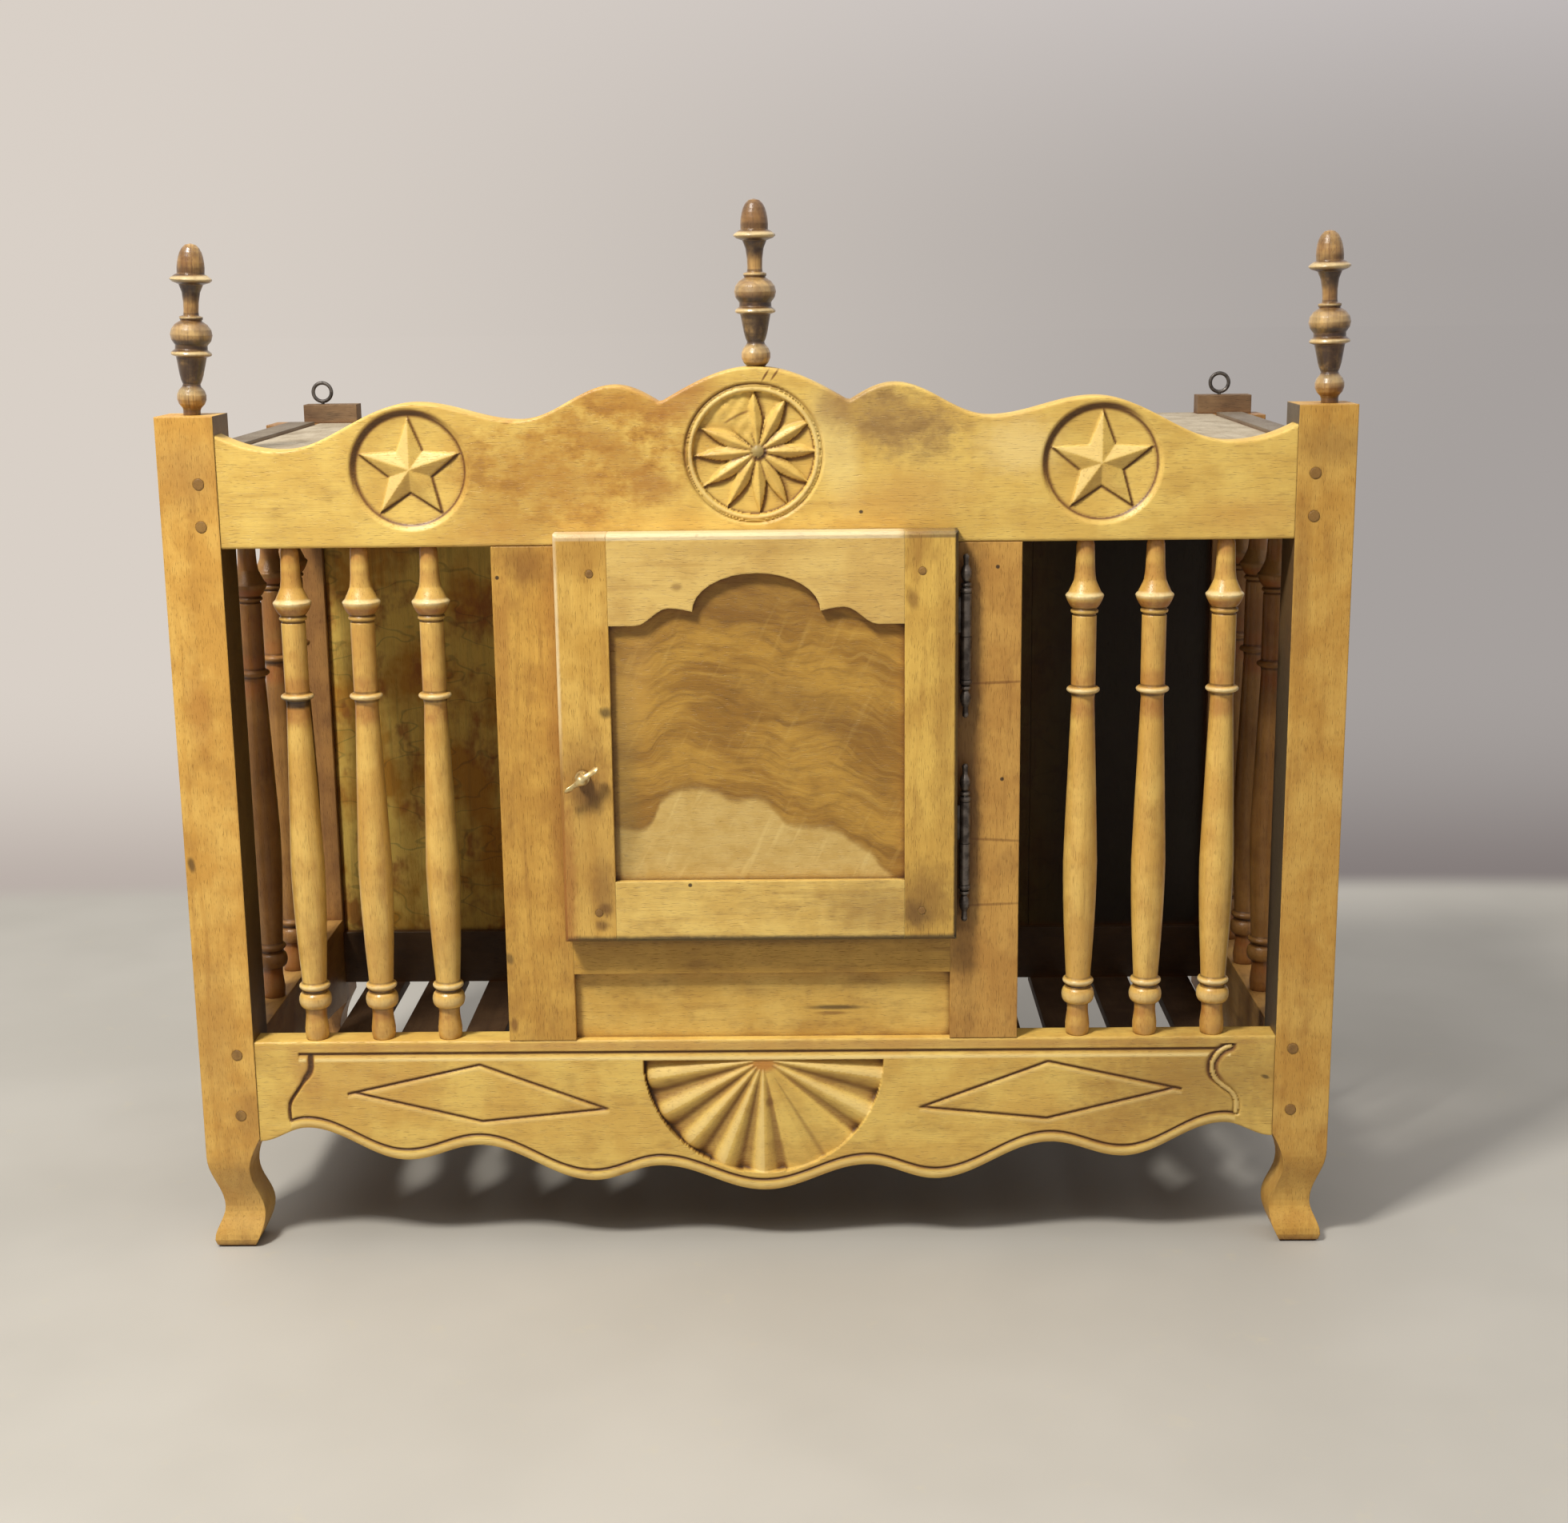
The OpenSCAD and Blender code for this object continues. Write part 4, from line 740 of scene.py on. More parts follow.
APRON_TOP = 186.0
APRON_KNOTS = ((0.0, 50.5), (88.0, 73.0), (145.0, 60.0), (242.0, 92.5), (303.0, 79.5),
               (388.0, 109.0), (POST_INSIDE, 97.0))
SHELL_Z = 167.5
SHELL_R = 101.0
RIB_ANGLE = 20.0
WORN_FROM = 38.0
WORN_TO = 84.0
HUB_R = 9.0
LOBE_FROM = 84.0
LINE_Z = 175.4
LINE_END = 392.0
BEAD_W = 10.0
BEAD_FROM = -401.0
BEAD_TO = 396.5
DIAMOND_UPPER = ((133.0, 125.0), (239.0, 165.0), (352.0, 139.5))
DIAMOND_LOWER = ((133.0, 125.0), (238.5, 114.5), (346.0, 141.0))


def winding(points, steps=5):
    """A smooth path through the points."""
    ends = [points[0]] + list(points) + [points[-1]]
    path = []
    for p0, p1, p2, p3 in zip(ends, ends[1:], ends[2:], ends[3:]):
        for i in range(steps):
            t = i / steps
            path.append(tuple(0.5 * (2.0 * b + (c - a) * t + (2.0 * a - 5.0 * b + 4.0 * c - d) * t * t
                                     + (3.0 * b - a - 3.0 * c + d) * t ** 3)
                              for a, b, c, d in zip(p0, p1, p2, p3)))
    return path + [points[-1]]


def beside(path, x, z):
    """Distance of a point from a path, below 0 on the right of the way it runs."""
    best = 99.0
    for (x0, z0), (x1, z1) in zip(path, path[1:]):
        run_x, run_z = x1 - x0, z1 - z0
        length = math.hypot(run_x, run_z)
        t = max(0.0, min(1.0, ((x - x0) * run_x + (z - z0) * run_z) / length ** 2))
        gap = math.hypot(x - x0 - t * run_x, z - z0 - t * run_z)
        if gap < abs(best):
            best = math.copysign(gap, run_x * (z - z0) - run_z * (x - x0))
    return best


LEFT_END = winding([(-381.3, 174.9), (-381.6, 169.5), (-382.8, 159.6), (-392.8, 144.4),
                    (-400.8, 131.6), (-401.6, 119.5), (-400.8, 115.8)])
RIGHT_END = winding([(391.3, 176.7), (385.7, 174.4), (380.1, 168.9), (376.5, 160.4),
                     (378.6, 150.0), (385.5, 142.4), (393.8, 135.9), (398.1, 127.2), (397.6, 118.6)])


def apron_low(x):
    return wavy(APRON_KNOTS, abs(x))


def incised(over, below_width=2.8, depth=1.8, pale=0.4):
    """A knife cut that is steep above and bevelled below, at a distance over its bottom, dark with wax and
    painted shade, with a painted highlight on the bevel.
    """
    share = max(0.0, 1.0 - over / 0.9) if over > 0.0 else max(0.0, 1.0 + over / below_width)
    rub_and_highlight = pale * hill(over + below_width + 0.5, 1.6)
    return depth * share, 0.8 * hill(over + 0.3, 1.75) - rub_and_highlight


def settle(cuts):
    """The deepest of several cuts, and its wax and painted shade, or else the palest rubbing and painted
    highlight.
    """
    waxes = [cut[1] for cut in cuts]
    return max(cut[0] for cut in cuts), max(waxes) if max(waxes) > 0.06 else min(waxes)


def shell_cut(dx, dz):
    """Depth and old wax with painted shade in the shell, whose ribs are sinuous and run out at the right.
    """
    reach = math.hypot(dx, dz)
    turned_by = math.degrees(math.atan2(-dz, dx))
    rib = min(8, int(turned_by / RIB_ANGLE))
    off = (turned_by - RIB_ANGLE * (rib + 0.5)) / (RIB_ANGLE / 2.0)
    share = reach / SHELL_R
    crown = 0.4 + 1.0 * share
    valley = crown + 6.6 * share ** 0.8
    body = (0.5 + 0.5 * math.cos(math.pi * off)) ** 0.8
    at_left = ease((turned_by - 96.0) / 44.0)
    if reach > LOBE_FROM:
        rounding = max(0.0, 1.0 - ((reach - LOBE_FROM) / (SHELL_R - LOBE_FROM)) ** 2)
        body *= 1.0 - at_left * (1.0 - math.sqrt(rounding)) * 0.75
    worn = ease((turned_by - WORN_FROM) / 7.0) * ease((WORN_TO - turned_by) / 7.0)
    body += (0.82 - body) * worn * 0.6
    depth = valley - (valley - crown) * body
    sunk = 1.0 - body
    # Rib sides turned from the light get painted shade, lit crowns a painted highlight, and the left rim a
    # painted shadow.
    shaded = shadow_side(-turned_by - 90.0 if off > 0.0 else 90.0 - turned_by)
    slope = math.sin(math.pi * min(1.0, abs(off)))
    outward = ease((reach - 5.0) / 26.0)
    wax = ease(sunk * 1.7 - 0.55) * 0.46 + slope * ease(shaded * 1.5 - 0.4) * 0.26
    wax += hill(SHELL_R - reach, 5.0) * ease(sunk * 2.0 - 0.8) * 0.3
    wax += worn * hill(1.0 - abs(off), 0.16) * 0.3
    wax += hill(SHELL_R - reach - 0.4, 1.4) * at_left * 0.6
    rub_and_highlight = ease(body * 1.6 - 0.5) * ease(1.3 - shaded * 1.5) * 0.6 * (1.0 - worn)
    if reach < HUB_R:
        return 0.9, 0.1
    return depth, min(1.0, wax * outward) if wax > 0.12 else -rub_and_highlight


def apron_cut(x, z):
    dz = z - SHELL_Z
    if dz < 0.0 and math.hypot(x, dz) < SHELL_R:
        return shell_cut(x, dz)
    cuts = [(0.0, 0.0)]
    # A pale strip just above the shell: a painted highlight on its bevel.
    if abs(x) < SHELL_R and 0.0 <= dz < 4.0:
        cuts.append((0.0, -1.1 * hill(dz - 1.9, 1.5)))
    over_edge = z - apron_low(x)
    if BEAD_FROM < x < BEAD_TO and over_edge < BEAD_W + 2.0:
        cuts.append(incised(over_edge - BEAD_W, 1.8, 1.9, 0.0))
        # The bead's crown carries a painted highlight.
        if over_edge < BEAD_W - 1.0:
            bulge = (over_edge - BEAD_W / 2.0) / (BEAD_W / 2.0)
            cuts.append((1.5 * bulge ** 2, -0.5 * hill(bulge, 0.4)))
    if abs(x) < LINE_END and abs(z - LINE_Z) < 7.0:
        cuts.append(incised(z - LINE_Z, 5.2, 1.9, 1.0))
    if DIAMOND_UPPER[0][0] - 3.0 < abs(x) < DIAMOND_UPPER[-1][0] and z < SHELL_Z:
        cuts.append(incised(beside(DIAMOND_UPPER, abs(x), z)))
        cuts.append(incised(beside(DIAMOND_LOWER, abs(x), z)))
    # The left end's wide groove is dark with old wax and painted shade.
    if -406.0 < x < -374.0 and 113.0 < z < LINE_Z:
        gap = abs(beside(LEFT_END, x, z))
        width = 2.2 + 1.7 * ease((z - 148.0) / 8.0)
        share = max(0.0, 1.0 - gap / width)
        cuts.append((2.3 * share, ease(share * 1.6) * 0.85))
    if 368.0 < x < 404.0 and 116.0 < z < 179.0:
        gap = beside(RIGHT_END, x, z)
        high = ease((z - 140.0) / 12.0)
        # The right end's bead carries a painted highlight, and its grooves old wax and painted shade.
        if abs(gap) < 1.9:
            cuts = [(0.2 + 0.9 * (gap / 1.9) ** 2, -0.4)]
        else:
            width = 2.2 + 2.6 * high
            share = max(0.0, 1.0 - (abs(gap) - 1.9) / width)
            dark = 0.35 + 0.5 * high if gap < 0.0 else 0.25 + 0.45 * high
            cuts.append((2.2 * share, ease(share * 1.4) * dark))
    return settle(cuts)


apron_columns = spread(-POST_INSIDE, (-350.0, 1.1), (-130.0, 2.0), (-104.0, 1.5), (104.0, 0.95),
                       (130.0, 1.5), (350.0, 2.0), (POST_INSIDE, 1.1))
apron_rows = [(1.0, 0.0, o) for o in spread(0.0, (1.0, 0.5), (3.0, 1.0), (13.0, 0.75))]
apron_rows += [(1.0 - t, 0.0, 13.0 + 149.0 * t) for t in spread(0.0, (1.0, 1.0 / 82.0))[1:]]
apron_rows += [(0.0, 0.0, z) for z in spread(162.0, (183.0, 0.8))[1:]]
apron_rows += [(0.0, 0.0, APRON_TOP - o) for o in reversed(EDGE_ROWS[:-1])]
apron = carved_board("apron_board", apron_columns, apron_rows, apron_low, lambda x: APRON_TOP,
                     apron_cut, 1.8)
apron.data.materials.append(wood(
    "apron", "x", linear(234, 197, 102), linear(212, 166, 78), linear(150, 106, 44), 7.0,
    heart=(40.0, 90.0), ring=9.0, figure=0.3, patch=0.7, corner_wax_and_shade=0.2, carved=True, marks=[
        (0, 163, 11, 6, linear(196, 124, 50), 0.75, 0.5, 0, 0.3),
        (5, 129, 3, 4, STAIN, 0.6, 0.5, 0, 0.5),
        (-340, 150, 50, 26, linear(196, 142, 66), 0.45),
        (-387, 160, 9, 22, RED_BROWN, 0.35, 0.7, 20, 0.6),
        (0, 181, 424, 3.4, linear(184, 130, 78), 0.4, 0.4, 0, 0),
        (288, 112, 36, 18, linear(172, 122, 54), 0.5, 0.7, 0, 0.8),
        (362, 148, 76, 40, linear(146, 106, 48), 0.6),
        (421, 150, 3.5, 1.6, SOOT, 0.7, 0.5, -20, 0.4)]))
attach(apron, "case")
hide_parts("apron_rail")


# Pegs
# Riven oak pins are driven through the corner joints of the frame and of the door,
# and trimmed flush, so that only their end grain shows.

dress(["frame_pegs", "door_pegs"],
      wood("peg", "y", linear(158, 118, 58), linear(134, 96, 46), SIDE_DARK, 43.0))


# Rear rails and back boards
# Rough rails and five wide upright boards close the back. They were never waxed, and
# soot and damp have stained their inner faces. Painted light makes these golden at the
# left, painted shade makes them black at the right, and a painted shadow darkens the top.

def stains_and_bay_light(s, colour):
    """Stained inner faces, with painted light making them golden in the left bay, painted shade making them
    black in the right, and a painted shadow along the top.
    """
    patches = s.blotches((62.0, 62.0, 74.0), 4.0, 0.6, 90.0)
    red = s.blotches((34.0, 34.0, 52.0), 4.0, 0.62, 92.0)
    inner = s.mix(patches.step(0.38, 0.58), linear(214, 152, 48), linear(252, 214, 104))
    inner = s.mix(red.step(0.5, 0.66) * 0.75, inner, linear(172, 92, 30))
    veins = s.blotches((70.0, 70.0, 36.0), 2.0, seed=97.0)
    inner = s.mix(abs(veins - 0.5).step(0.014, 0.002) * 0.3, inner, linear(66, 36, 14))
    streaks = s.blotches((5.0, 5.0, 120.0), 3.0, 0.6, 95.0)
    inner = s.mix(streaks.step(0.46, 0.8) * 0.3, inner, linear(100, 60, 22))
    # Painted shadow along the top, and painted shade that darkens the boards from the middle and turns them
    # black in the right bay.
    inner = s.mix(s.z.step(520.0, 620.0) * 0.5, inner, linear(90, 58, 24))
    inner = s.mix(s.x.step(-215.0, -60.0) * 0.8, inner, linear(96, 66, 24))
    inner = s.mix(s.x.step(150.0, 330.0) * 0.95, inner, linear(22, 15, 6))
    return s.mix(s.facing(1).step(-0.3, -0.8), colour, inner)


dress(["rear_top_rail"],
      wood("rear_top_rail", "x", linear(140, 104, 62), linear(112, 78, 44), linear(64, 40, 20), 27.0))
dress(["rear_bottom_rail"],
      wood("rear_bottom_rail", "x", linear(92, 66, 38), linear(72, 48, 26), linear(44, 28, 14), 28.0))
dress(["back_board_%d" % i for i in range(1, 6)],
      wood("back_board", "z", linear(112, 82, 52), linear(84, 58, 34), linear(46, 28, 15), 31.0,
           gloss=0.6, edge_rub_and_highlight=0.1, paint=stains_and_bay_light))


# Floor
# Fourteen narrow slats with wide gaps lie on the lower rails and on a bearer in the
# middle. They are bare, dark and dusty.

dress(["floor_slats"],
      wood("slats", "y", linear(96, 70, 44), linear(76, 52, 30), linear(46, 30, 16), 33.0, gloss=0.65))
dress(["floor_bearer"],
      wood("bearer", "x", linear(122, 90, 60), linear(98, 68, 42), linear(58, 38, 22), 34.0, gloss=0.6))


# Roof
# Four wide boards lie on the upper rails and on a ledger behind the crest. They are
# planed but bare, and grey with dust.

dress(["roof_board_%d" % i for i in range(1, 5)],
      wood("roof", "y", linear(194, 180, 154), linear(164, 148, 122), linear(110, 92, 68), 35.0,
           gloss=0.65, edge_rub_and_highlight=0.2))
dress(["roof_ledger"],
      wood("ledger", "x", linear(150, 118, 82), linear(122, 90, 58), linear(72, 48, 28), 36.0))


# Finials
# Three finials of darker, polished wood stand on the two front posts and on the crest.
# They are turned to balls, rings and a pointed bud, and a tenon below holds each.

FINIAL = linear(212, 168, 100)
FINIAL_MID = linear(108, 66, 30)
FINIAL_DARK = linear(42, 22, 11)
FINIAL_STAIN_AND_SHADE = linear(40, 20, 11)
# Finial grooves, bands of stain and painted shade under the lips and rings, and rims with a painted
# highlight.
FINIAL_LINES = ((3.0, 2.0, 0.7), (24.6, 1.6, 0.9), (45.6, 1.2, 0.8), (52.0, 1.4, 0.9), (75.2, 1.0, 0.7),
                (79.0, 1.4, 0.8), (102.4, 1.8, 0.9), (110.2, 1.0, 0.7))
FINIAL_BANDS = ((4.0, 4.0, 0.5), (31.0, 12.0, 0.9), (41.0, 5.0, 0.6), (55.5, 4.6, 0.9), (97.0, 8.0, 0.85),
                (74.0, 3.0, 0.5), (113.0, 4.0, 0.45), (128.0, 5.0, 0.3))
FINIAL_RIM_HIGHLIGHTS = ((18.0, 4.0, 0.25), (48.6, 1.6, 0.6), (66.0, 5.0, 0.2), (76.6, 0.8, 0.4), (106.6, 2.2, 0.65))

for kind, names, foot in (("corner_finial", ["finial_left", "finial_right"], 707.3),
                          ("crest_finial", ["finial_centre"], 736.0)):
    dress(names, wood(kind, "z", FINIAL, FINIAL_MID, FINIAL_DARK, 39.0, ring=3.0, figure=0.7, gloss=0.3,
                      corner_wax_and_shade=0.9, coat=0.6,
                      paint=turned(FINIAL_LINES, FINIAL_BANDS, FINIAL_RIM_HIGHLIGHTS, foot, FINIAL_STAIN_AND_SHADE)))


# Hanging blocks and screw eyes
# A block of wood is nailed to each rear corner of the roof, with a forged screw eye in
# its top for a wall hook.

def forged(name, bright, dull, rough, seed):
    """Old metal with dull patches, fine pits and dirt in its corners."""
    s = Shader(name)
    pits = s.blotches(1.6, 4.0, 0.65, seed)
    patches = s.blotches(8.0, seed=seed + 7.0)
    colour = s.mix(patches.step(0.38, 0.66), bright, dull)
    colour = s.mix(pits.step(0.55, 0.75) * 0.5, colour, shade(dull, 0.5))
    colour = s.mix(s.nook(3.0).step(0.9, 0.4) * 0.8, colour, shade(dull, 0.25))
    return s.finish(colour, pits * 0.35 + rough, pits, 0.12, metal=patches.step(0.75, 0.3) * 0.4 + 0.5)


dress(["hanging_block_left", "hanging_block_right"],
      wood("block", "x", linear(138, 108, 74), linear(108, 80, 52), linear(56, 40, 26), 41.0,
           gloss=0.65))
dress(["screw_eye_left", "screw_eye_right"], forged("eye_iron", linear(110, 104, 98), linear(62, 56, 52),
                                                    0.3, 2.0))


# Door frame
# Two stiles and two rails with pegged joints and chamfered outer edges. The upper rail
# is sawn to a stepped arch below. The rubbed top chamfer and the upper left edge carry a
# painted highlight, the right and bottom edges painted shade, and hands have darkened
# the wood round the handle.

EDGE_HIGHLIGHT = linear(240, 228, 196)
EDGE_SHADE = linear(48, 40, 30)


def edge_light_and_shade(s, colour):
    """The door's outer edges: a painted highlight on the rubbed top and upper left, painted shade beside
    the hinges and below.
    """
    torn = s.blotches(5.0, 3.0, 0.6, 88.0) * 4.0 - 2.0
    top = s.z.step(607.6, 608.8)
    # Painted highlight on the rubbed top edge, darker grey at its right end.
    colour = s.mix(top * (s.x + torn * 2.0).step(128.0, 108.0) * 0.5, colour, EDGE_HIGHLIGHT)
    colour = s.mix(top * (s.x + torn).step(112.0, 126.0) * 0.7, colour, linear(92, 84, 68))
    # Painted shade beside the hinges and along the bottom edge.
    colour = s.mix((s.x + torn * 0.4).step(156.8, 159.2) * 0.92, colour, EDGE_SHADE)
    colour = s.mix((s.z + torn * 0.5).step(284.5, 280.5) * 0.88, colour, EDGE_SHADE)
    left = (s.x + torn * 0.3).step(-156.6, -159.0)
    # The lower left edge is browner, and the upper left carries a painted highlight.
    colour = s.mix(left * s.z.step(470.0, 380.0) * 0.8, colour, linear(110, 72, 32))
    return s.mix(left * s.z.step(400.0, 500.0) * 0.5, colour, EDGE_HIGHLIGHT)


dress(["door_top_rail"], wood(
    "door_top", "x", linear(230, 194, 112), linear(206, 164, 86), linear(160, 112, 50), 49.0,
    figure=0.2, patch=0.6, paint=edge_light_and_shade, marks=[
        (-20, 600, 70, 5, linear(190, 150, 78), 0.5),
        (-63, 571, 4, 3, STAIN, 0.5, 0.5, 0, 0.5),
        (-29, 571, 4, 3, STAIN, 0.5, 0.5, 0, 0.5)]))
dress(["door_lock_stile"], wood(
    "lock_stile", "z", linear(228, 184, 92), linear(204, 155, 66), HONEY_DARK, 45.0, paint=edge_light_and_shade, marks=[
        (-139, 598, 24, 16, linear(176, 128, 56), 0.55, 0.8, 0, 0.8),
        (-122, 470, 5, 4, SOOT, 0.7, 0.6, 0, 0.6),
        (-142, 417, 19, 30, linear(140, 92, 42), 0.6, 0.8, 0, 0.8),
        (-138, 402, 12, 12, linear(78, 44, 18), 0.75, 0.7, 0, 0.6),
        (-157, 330, 7, 60, RED_BROWN, 0.6, 0.6, 0, 0.9),
        (-141, 350, 26, 56, linear(178, 130, 60), 0.45),
        (-128, 322, 9, 24, linear(120, 76, 34), 0.5, 0.7, 0, 0.8),
        (-127, 306, 5, 5, linear(90, 52, 26), 0.6, 0.6, 0, 0.7),
        (-130, 292, 5, 4, linear(90, 52, 26), 0.6, 0.6, 0, 0.7)]))
dress(["door_hinge_stile"], wood(
    "hinge_stile", "z", linear(232, 190, 93), linear(208, 162, 73), HONEY_DARK, 47.0, paint=edge_light_and_shade, marks=[
        (124, 560, 4, 8, STAIN, 0.55, 0.6, 10, 0.6),
        (128, 602, 12, 16, linear(166, 120, 52), 0.55, 0.7, 0, 0.7),
        (150, 480, 8, 110, linear(166, 120, 52), 0.5),
        (134, 312, 24, 24, linear(120, 80, 36), 0.6),
        (126, 300, 12, 10, linear(84, 50, 26), 0.6, 0.7, -20, 0.9)]))
dress(["door_bottom_rail"], wood(
    "door_bottom", "x", linear(238, 202, 112), linear(214, 173, 88), AMBER_DARK, 53.0, paint=edge_light_and_shade,
    marks=[
        (92, 306, 34, 18, linear(140, 98, 46), 0.5),
        nail_hole(-57, 326)]))


# Door panel
# One wide piece of walnut in grooves, with its grain lying across. Brown heartwood
# fills the upper part in wavy lines, and the lower part is pale sapwood.

SAP_LEFT = -140.0
SAP_RIGHT = 120.0
SAP_EDGE = ((-140.0, 384.0), (-96.0, 372.0), (-78.0, 396.0), (-62.0, 404.0), (-45.0, 404.0),
            (-23.0, 397.0), (-1.0, 395.0), (14.0, 385.0), (25.0, 374.0), (40.0, 372.0), (62.0, 369.0),
            (75.0, 360.0), (89.0, 351.0), (102.0, 335.0), (120.0, 322.0))


def heart_and_sap(s, _):
    """Wavy brown heartwood over pale sapwood, in place of the panel's plain colour."""
    stops = [((x - SAP_LEFT) / (SAP_RIGHT - SAP_LEFT), (z - 300.0) / 120.0) for x, z in SAP_EDGE]
    share = (s.x - SAP_LEFT) / (SAP_RIGHT - SAP_LEFT)
    edge_z = s.node("ShaderNodeFloatCurve", {"curve": stops}, {"Value": share}) * 120.0 + 300.0
    wander = s.blotches((26.0, 26.0, 16.0), 4.0, 0.62, 71.0) - 0.5
    drift = s.blotches(70.0, 2.0, seed=72.0) - 0.5
    over = s.z - edge_z + wander * 12.0
    arched = s.z - edge_z * 0.5 + drift * 50.0 + wander * 4.0
    waves = s.noise(s.x / 60.0, s.y / 60.0, arched / 3.6, 4.0, 0.6, seed=73.0)
    broad = s.noise(s.x / 80.0, s.y / 80.0, arched / 20.0, 4.0, 0.6, seed=75.0)
    mottle = s.blotches((16.0, 16.0, 12.0), 4.0, 0.62, 76.0)
    heart = s.mix(broad.step(0.36, 0.64), linear(192, 146, 60), linear(154, 110, 40))
    heart = s.mix(mottle.step(0.44, 0.72) * 0.4, heart, linear(136, 98, 36))
    heart = s.mix(waves.step(0.5, 0.74) * 0.4, heart, linear(106, 74, 26))
    heart = s.mix(waves.step(0.46, 0.28) * 0.3, heart, linear(210, 170, 84))
    sap = s.mix(mottle.step(0.3, 0.72), linear(216, 182, 108), linear(202, 164, 88))
    sap = s.mix(waves.step(0.54, 0.8) * 0.14, sap, linear(160, 124, 62))
    sheen = s.noise((s.x - s.z * 0.5) / 7.0, s.y / 40.0, (s.z + s.x * 0.5) / 60.0, 3.0, 0.5, seed=77.0)
    sap = s.mix(sheen.step(0.55, 0.75) * 0.5, sap, linear(232, 202, 128))
    heart = s.mix(sheen.step(0.58, 0.78) * 0.25, heart, linear(216, 176, 92))
    figured = s.mix(over.step(-4.0, 5.0), sap, heart)
    line = over.step(-3.0, 2.0) * over.step(9.0, 2.5)
    return s.mix(line * 0.28, figured, linear(120, 82, 34))


dress(["door_panel"], wood(
    "door_panel", "x", linear(206, 178, 118), linear(180, 142, 84), linear(130, 92, 46), 55.0,
    corner_wax_and_shade=0.9, paint=heart_and_sap, marks=[
        (-114, 400, 14, 110, linear(126, 104, 54), 0.5, 0.8, 0, 0.8),
        (0, 560, 60, 22, linear(120, 82, 38), 0.45),
        (40, 470, 60, 16, linear(112, 74, 30), 0.4, 0.8, -24, 0.9),
        (-98, 500, 12, 50, linear(206, 160, 84), 0.3, 0.8, -8, 0.6)]))


# Hinges
# Two iron barrel hinges with turned tips. One leaf of each is let into the muntin and
# carries the pin, and the other is let into the door and turns on it.

hinge_iron = forged("hinge_iron", linear(116, 108, 100), linear(66, 58, 52), 0.26, 3.0)
dress(["upper_hinge_pin_half", "lower_hinge_pin_half", "upper_hinge_door_half",
       "lower_hinge_door_half"], hinge_iron)


# Turn handle
# A small cast brass handle like a butterfly key, with two thin twisted wings and a round
# waist. Its shank goes through the stile, and the end is riveted over the iron tongue.

HANDLE_X = -142.0
HANDLE_Z = 417.0
HANDLE_SLOPE = 37.0
HANDLE_HALF = 17.4
WING_TWIST = 62.0
WAIST_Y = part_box("turn_handle")[0][1] / MM - POST_FACE + 4.6
RIVET_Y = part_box("turn_handle")[1][1] / MM - POST_FACE


def rod(shape, start, end, radius, end_radius=None):
    """A round bar from front to back on the handle's axis."""
    turned = Matrix.Rotation(math.radians(90.0), 4, "X")
    middle = Matrix.Translation((HANDLE_X * MM, ((start + end) / 2.0 + POST_FACE) * MM, HANDLE_Z * MM))
    bmesh.ops.create_cone(shape, cap_ends=True, segments=28, radius1=(end_radius or radius) * MM,
                          radius2=radius * MM, depth=(end - start) * MM, matrix=middle @ turned)


handle_shape = bmesh.new()
bmesh.ops.create_uvsphere(handle_shape, u_segments=24, v_segments=48, radius=1.0)
for spot in handle_shape.verts:
    t = spot.co.z
    ring = math.sqrt(max(1e-6, 1.0 - t * t))
    waist = hill(t, 0.2)
    tip = hill(abs(t) - 0.82, 0.17)
    close = max(0.0, 1.0 - abs(t) ** 9) ** 0.5
    wide = (2.3 + 2.3 * waist + 1.2 * tip) * close * spot.co.x / ring
    thick = (1.15 + 3.3 * waist + 0.35 * tip) * close * spot.co.y / ring
    twist = math.radians(WING_TWIST * t)
    spread_x = wide * math.cos(twist) - thick * math.sin(twist)
    spread_y = wide * math.sin(twist) + thick * math.cos(twist)
    bow = 1.2 * (1.0 - t * t)
    slope = math.radians(HANDLE_SLOPE)
    length = t * HANDLE_HALF
    x = HANDLE_X + length * math.cos(slope) - spread_x * math.sin(slope)
    z = HANDLE_Z + length * math.sin(slope) + spread_x * math.cos(slope)
    spot.co = (x * MM, (WAIST_Y + spread_y - bow + 1.2 + POST_FACE) * MM, z * MM)
rod(handle_shape, WAIST_Y + 1.0, WAIST_Y + 6.5, 3.2, 4.2)
rod(handle_shape, WAIST_Y + 6.3, WAIST_Y + 9.3, 5.8, 6.2)
rod(handle_shape, WAIST_Y + 9.0, RIVET_Y - 5.0, 3.4)
rod(handle_shape, RIVET_Y - 5.2, RIVET_Y - 1.6, 2.4)
rod(handle_shape, RIVET_Y - 1.7, RIVET_Y, 3.4, 4.2)
bmesh.ops.recalc_face_normals(handle_shape, faces=handle_shape.faces)
handle = piece_of(handle_shape, "butterfly_handle", 45.0)
handle.data.materials.append(forged("handle_brass", linear(226, 206, 150), linear(176, 140, 82), 0.2, 4.0))
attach(handle, "latch")
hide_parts("turn_handle")
dress(["latch_tongue"], hinge_iron)


# Floor, background and light
# A plain pale floor that meets a wall in a soft line well behind the cabinet, a lamp
# high at the front left, and light from above that fades out near the horizon. The
# wall's glow holds painted light: brighter at the left, darker at the right and low down.

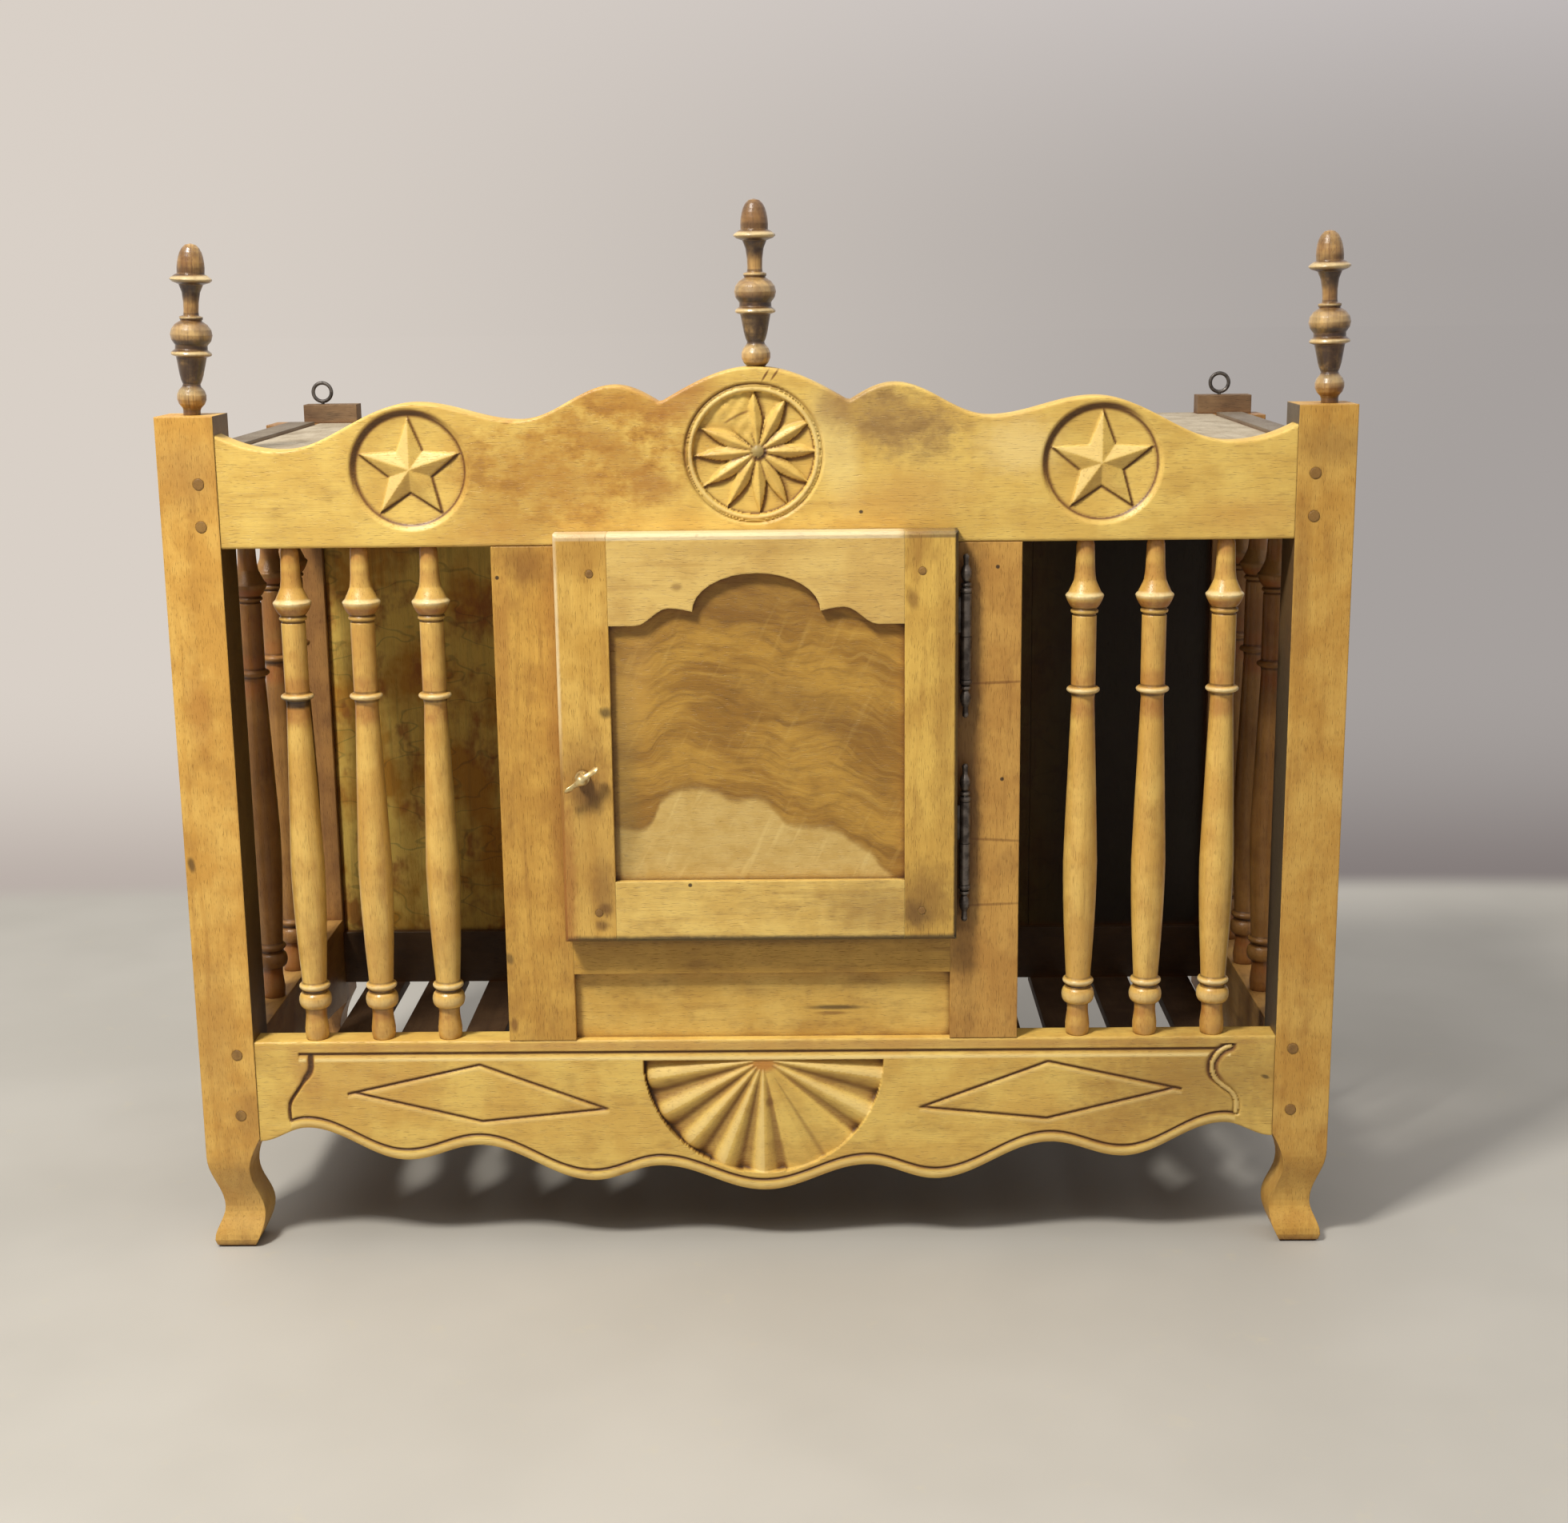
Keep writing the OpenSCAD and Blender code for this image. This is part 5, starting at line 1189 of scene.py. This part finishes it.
# Wall colours with painted light: brighter at the left, darker at the right and near the floor, brighter
# high up at the right.
WALL_LEFT = linear(217, 208, 199)
WALL_RIGHT = linear(166, 160, 157)
WALL_LOW_LEFT = linear(186, 175, 168)
WALL_LOW_RIGHT = linear(132, 124, 122)
WALL_HIGH_RIGHT = linear(213, 207, 207)
ROOM_X = 1600.0
ROOM_Y = 955.0
SKY_LOW = (0.015, 0.015, 0.016)
SKY_HIGH = (1.42, 1.42, 1.44)
LAMP_PLACE = (-1.05, -1.5, 2.65)
LAMP_AIM = (0.0, 0.0, 0.4)
LAMP_SIZE = 0.45
LAMP_WATTS = 84.0
LAMP_COLOUR = (1.0, 0.98, 0.94)


def in_view(shader):
    """1 for rays from the camera, also by way of a mirror or through glass."""
    rays = [shader.node("ShaderNodeLightPath", out=ray) for ray in
            ("Is Camera Ray", "Is Glossy Ray", "Is Transmission Ray")]
    return (rays[0] + rays[1] + rays[2]).least(1.0)


floor_shape = bmesh.new()
bmesh.ops.create_grid(floor_shape, x_segments=4, y_segments=4, size=30.0)
floor = piece_of(floor_shape, "floor")
s = Shader("floor")
y_mid = s.y + POST_FACE
dapple = s.blotches(300.0)
dust = s.blotches(40.0, 4.0, 0.65, 12.0)
colour = s.mix(dapple.step(0.3, 0.7), linear(182, 177, 167), linear(174, 169, 159))
colour = s.mix(dust.step(0.6, 0.8) * 0.25, colour, linear(196, 184, 150))
s.finish(colour, dapple * 0.1 + 0.6, dapple, 0.02)
beyond = ((abs(s.x) / ROOM_X) ** 6.0 + (abs(y_mid) / ROOM_Y) ** 6.0) ** (1.0 / 6.0)
away = (s.x * s.x + y_mid * y_mid).root()
to_right = (s.x / away).step(-0.36, 0.36)
nearness = (1.0 / beyond).least(1.0).step(0.35, 1.0)
# Painted light on the wall seen beyond the floor.
far_wall = s.mix(to_right, WALL_LEFT, WALL_RIGHT)
near_wall = s.mix(to_right, WALL_LOW_LEFT, WALL_LOW_RIGHT)
wall_glow = s.node("ShaderNodeEmission", {}, {"Color": s.mix(nearness, far_wall, near_wall)})
to_wall = beyond.step(0.94, 1.06) * in_view(s)
body = Socket(s, s.surface.outputs[0])
blend = s.node("ShaderNodeMixShader", {}, {0: to_wall, 1: body, 2: wall_glow})
s.plug(s.tree.nodes["Material Output"].inputs["Surface"], blend)
floor.data.materials.append(s.material)

world = bpy.data.worlds.new("world")
bpy.context.scene.world = world
world.use_nodes = True
sky = Shader("sky", world.node_tree)
backdrop = sky.tree.nodes["Background"]
direction = sky.node("ShaderNodeTexCoord", out="Generated")
to_right = sky.part(direction, 0).step(-0.36, 0.36)
upward = sky.part(direction, 2)
# The wall seen behind, with the same painted light.
right_wall = sky.mix(upward.step(0.0, 0.22), WALL_RIGHT, WALL_HIGH_RIGHT)
wall = sky.mix(to_right, WALL_LEFT, right_wall)
light = sky.mix(upward.step(0.45, 1.0), SKY_LOW, SKY_HIGH)
sky.plug(backdrop.inputs["Color"], sky.mix(in_view(sky), light, wall))
backdrop.inputs["Strength"].default_value = 1.0


lamp_light = bpy.data.lights.new("high_left", "AREA")
lamp_light.shape = "SQUARE"
lamp_light.size = LAMP_SIZE
lamp_light.energy = LAMP_WATTS
lamp_light.color = LAMP_COLOUR
lamp = bpy.data.objects.new("high_left", lamp_light)
lamp.location = LAMP_PLACE
lamp.rotation_euler = (Vector(LAMP_AIM) - Vector(LAMP_PLACE)).to_track_quat("-Z", "Y").to_euler()
bpy.context.scene.collection.objects.link(lamp)
bpy.context.scene.view_settings.view_transform = "Standard"
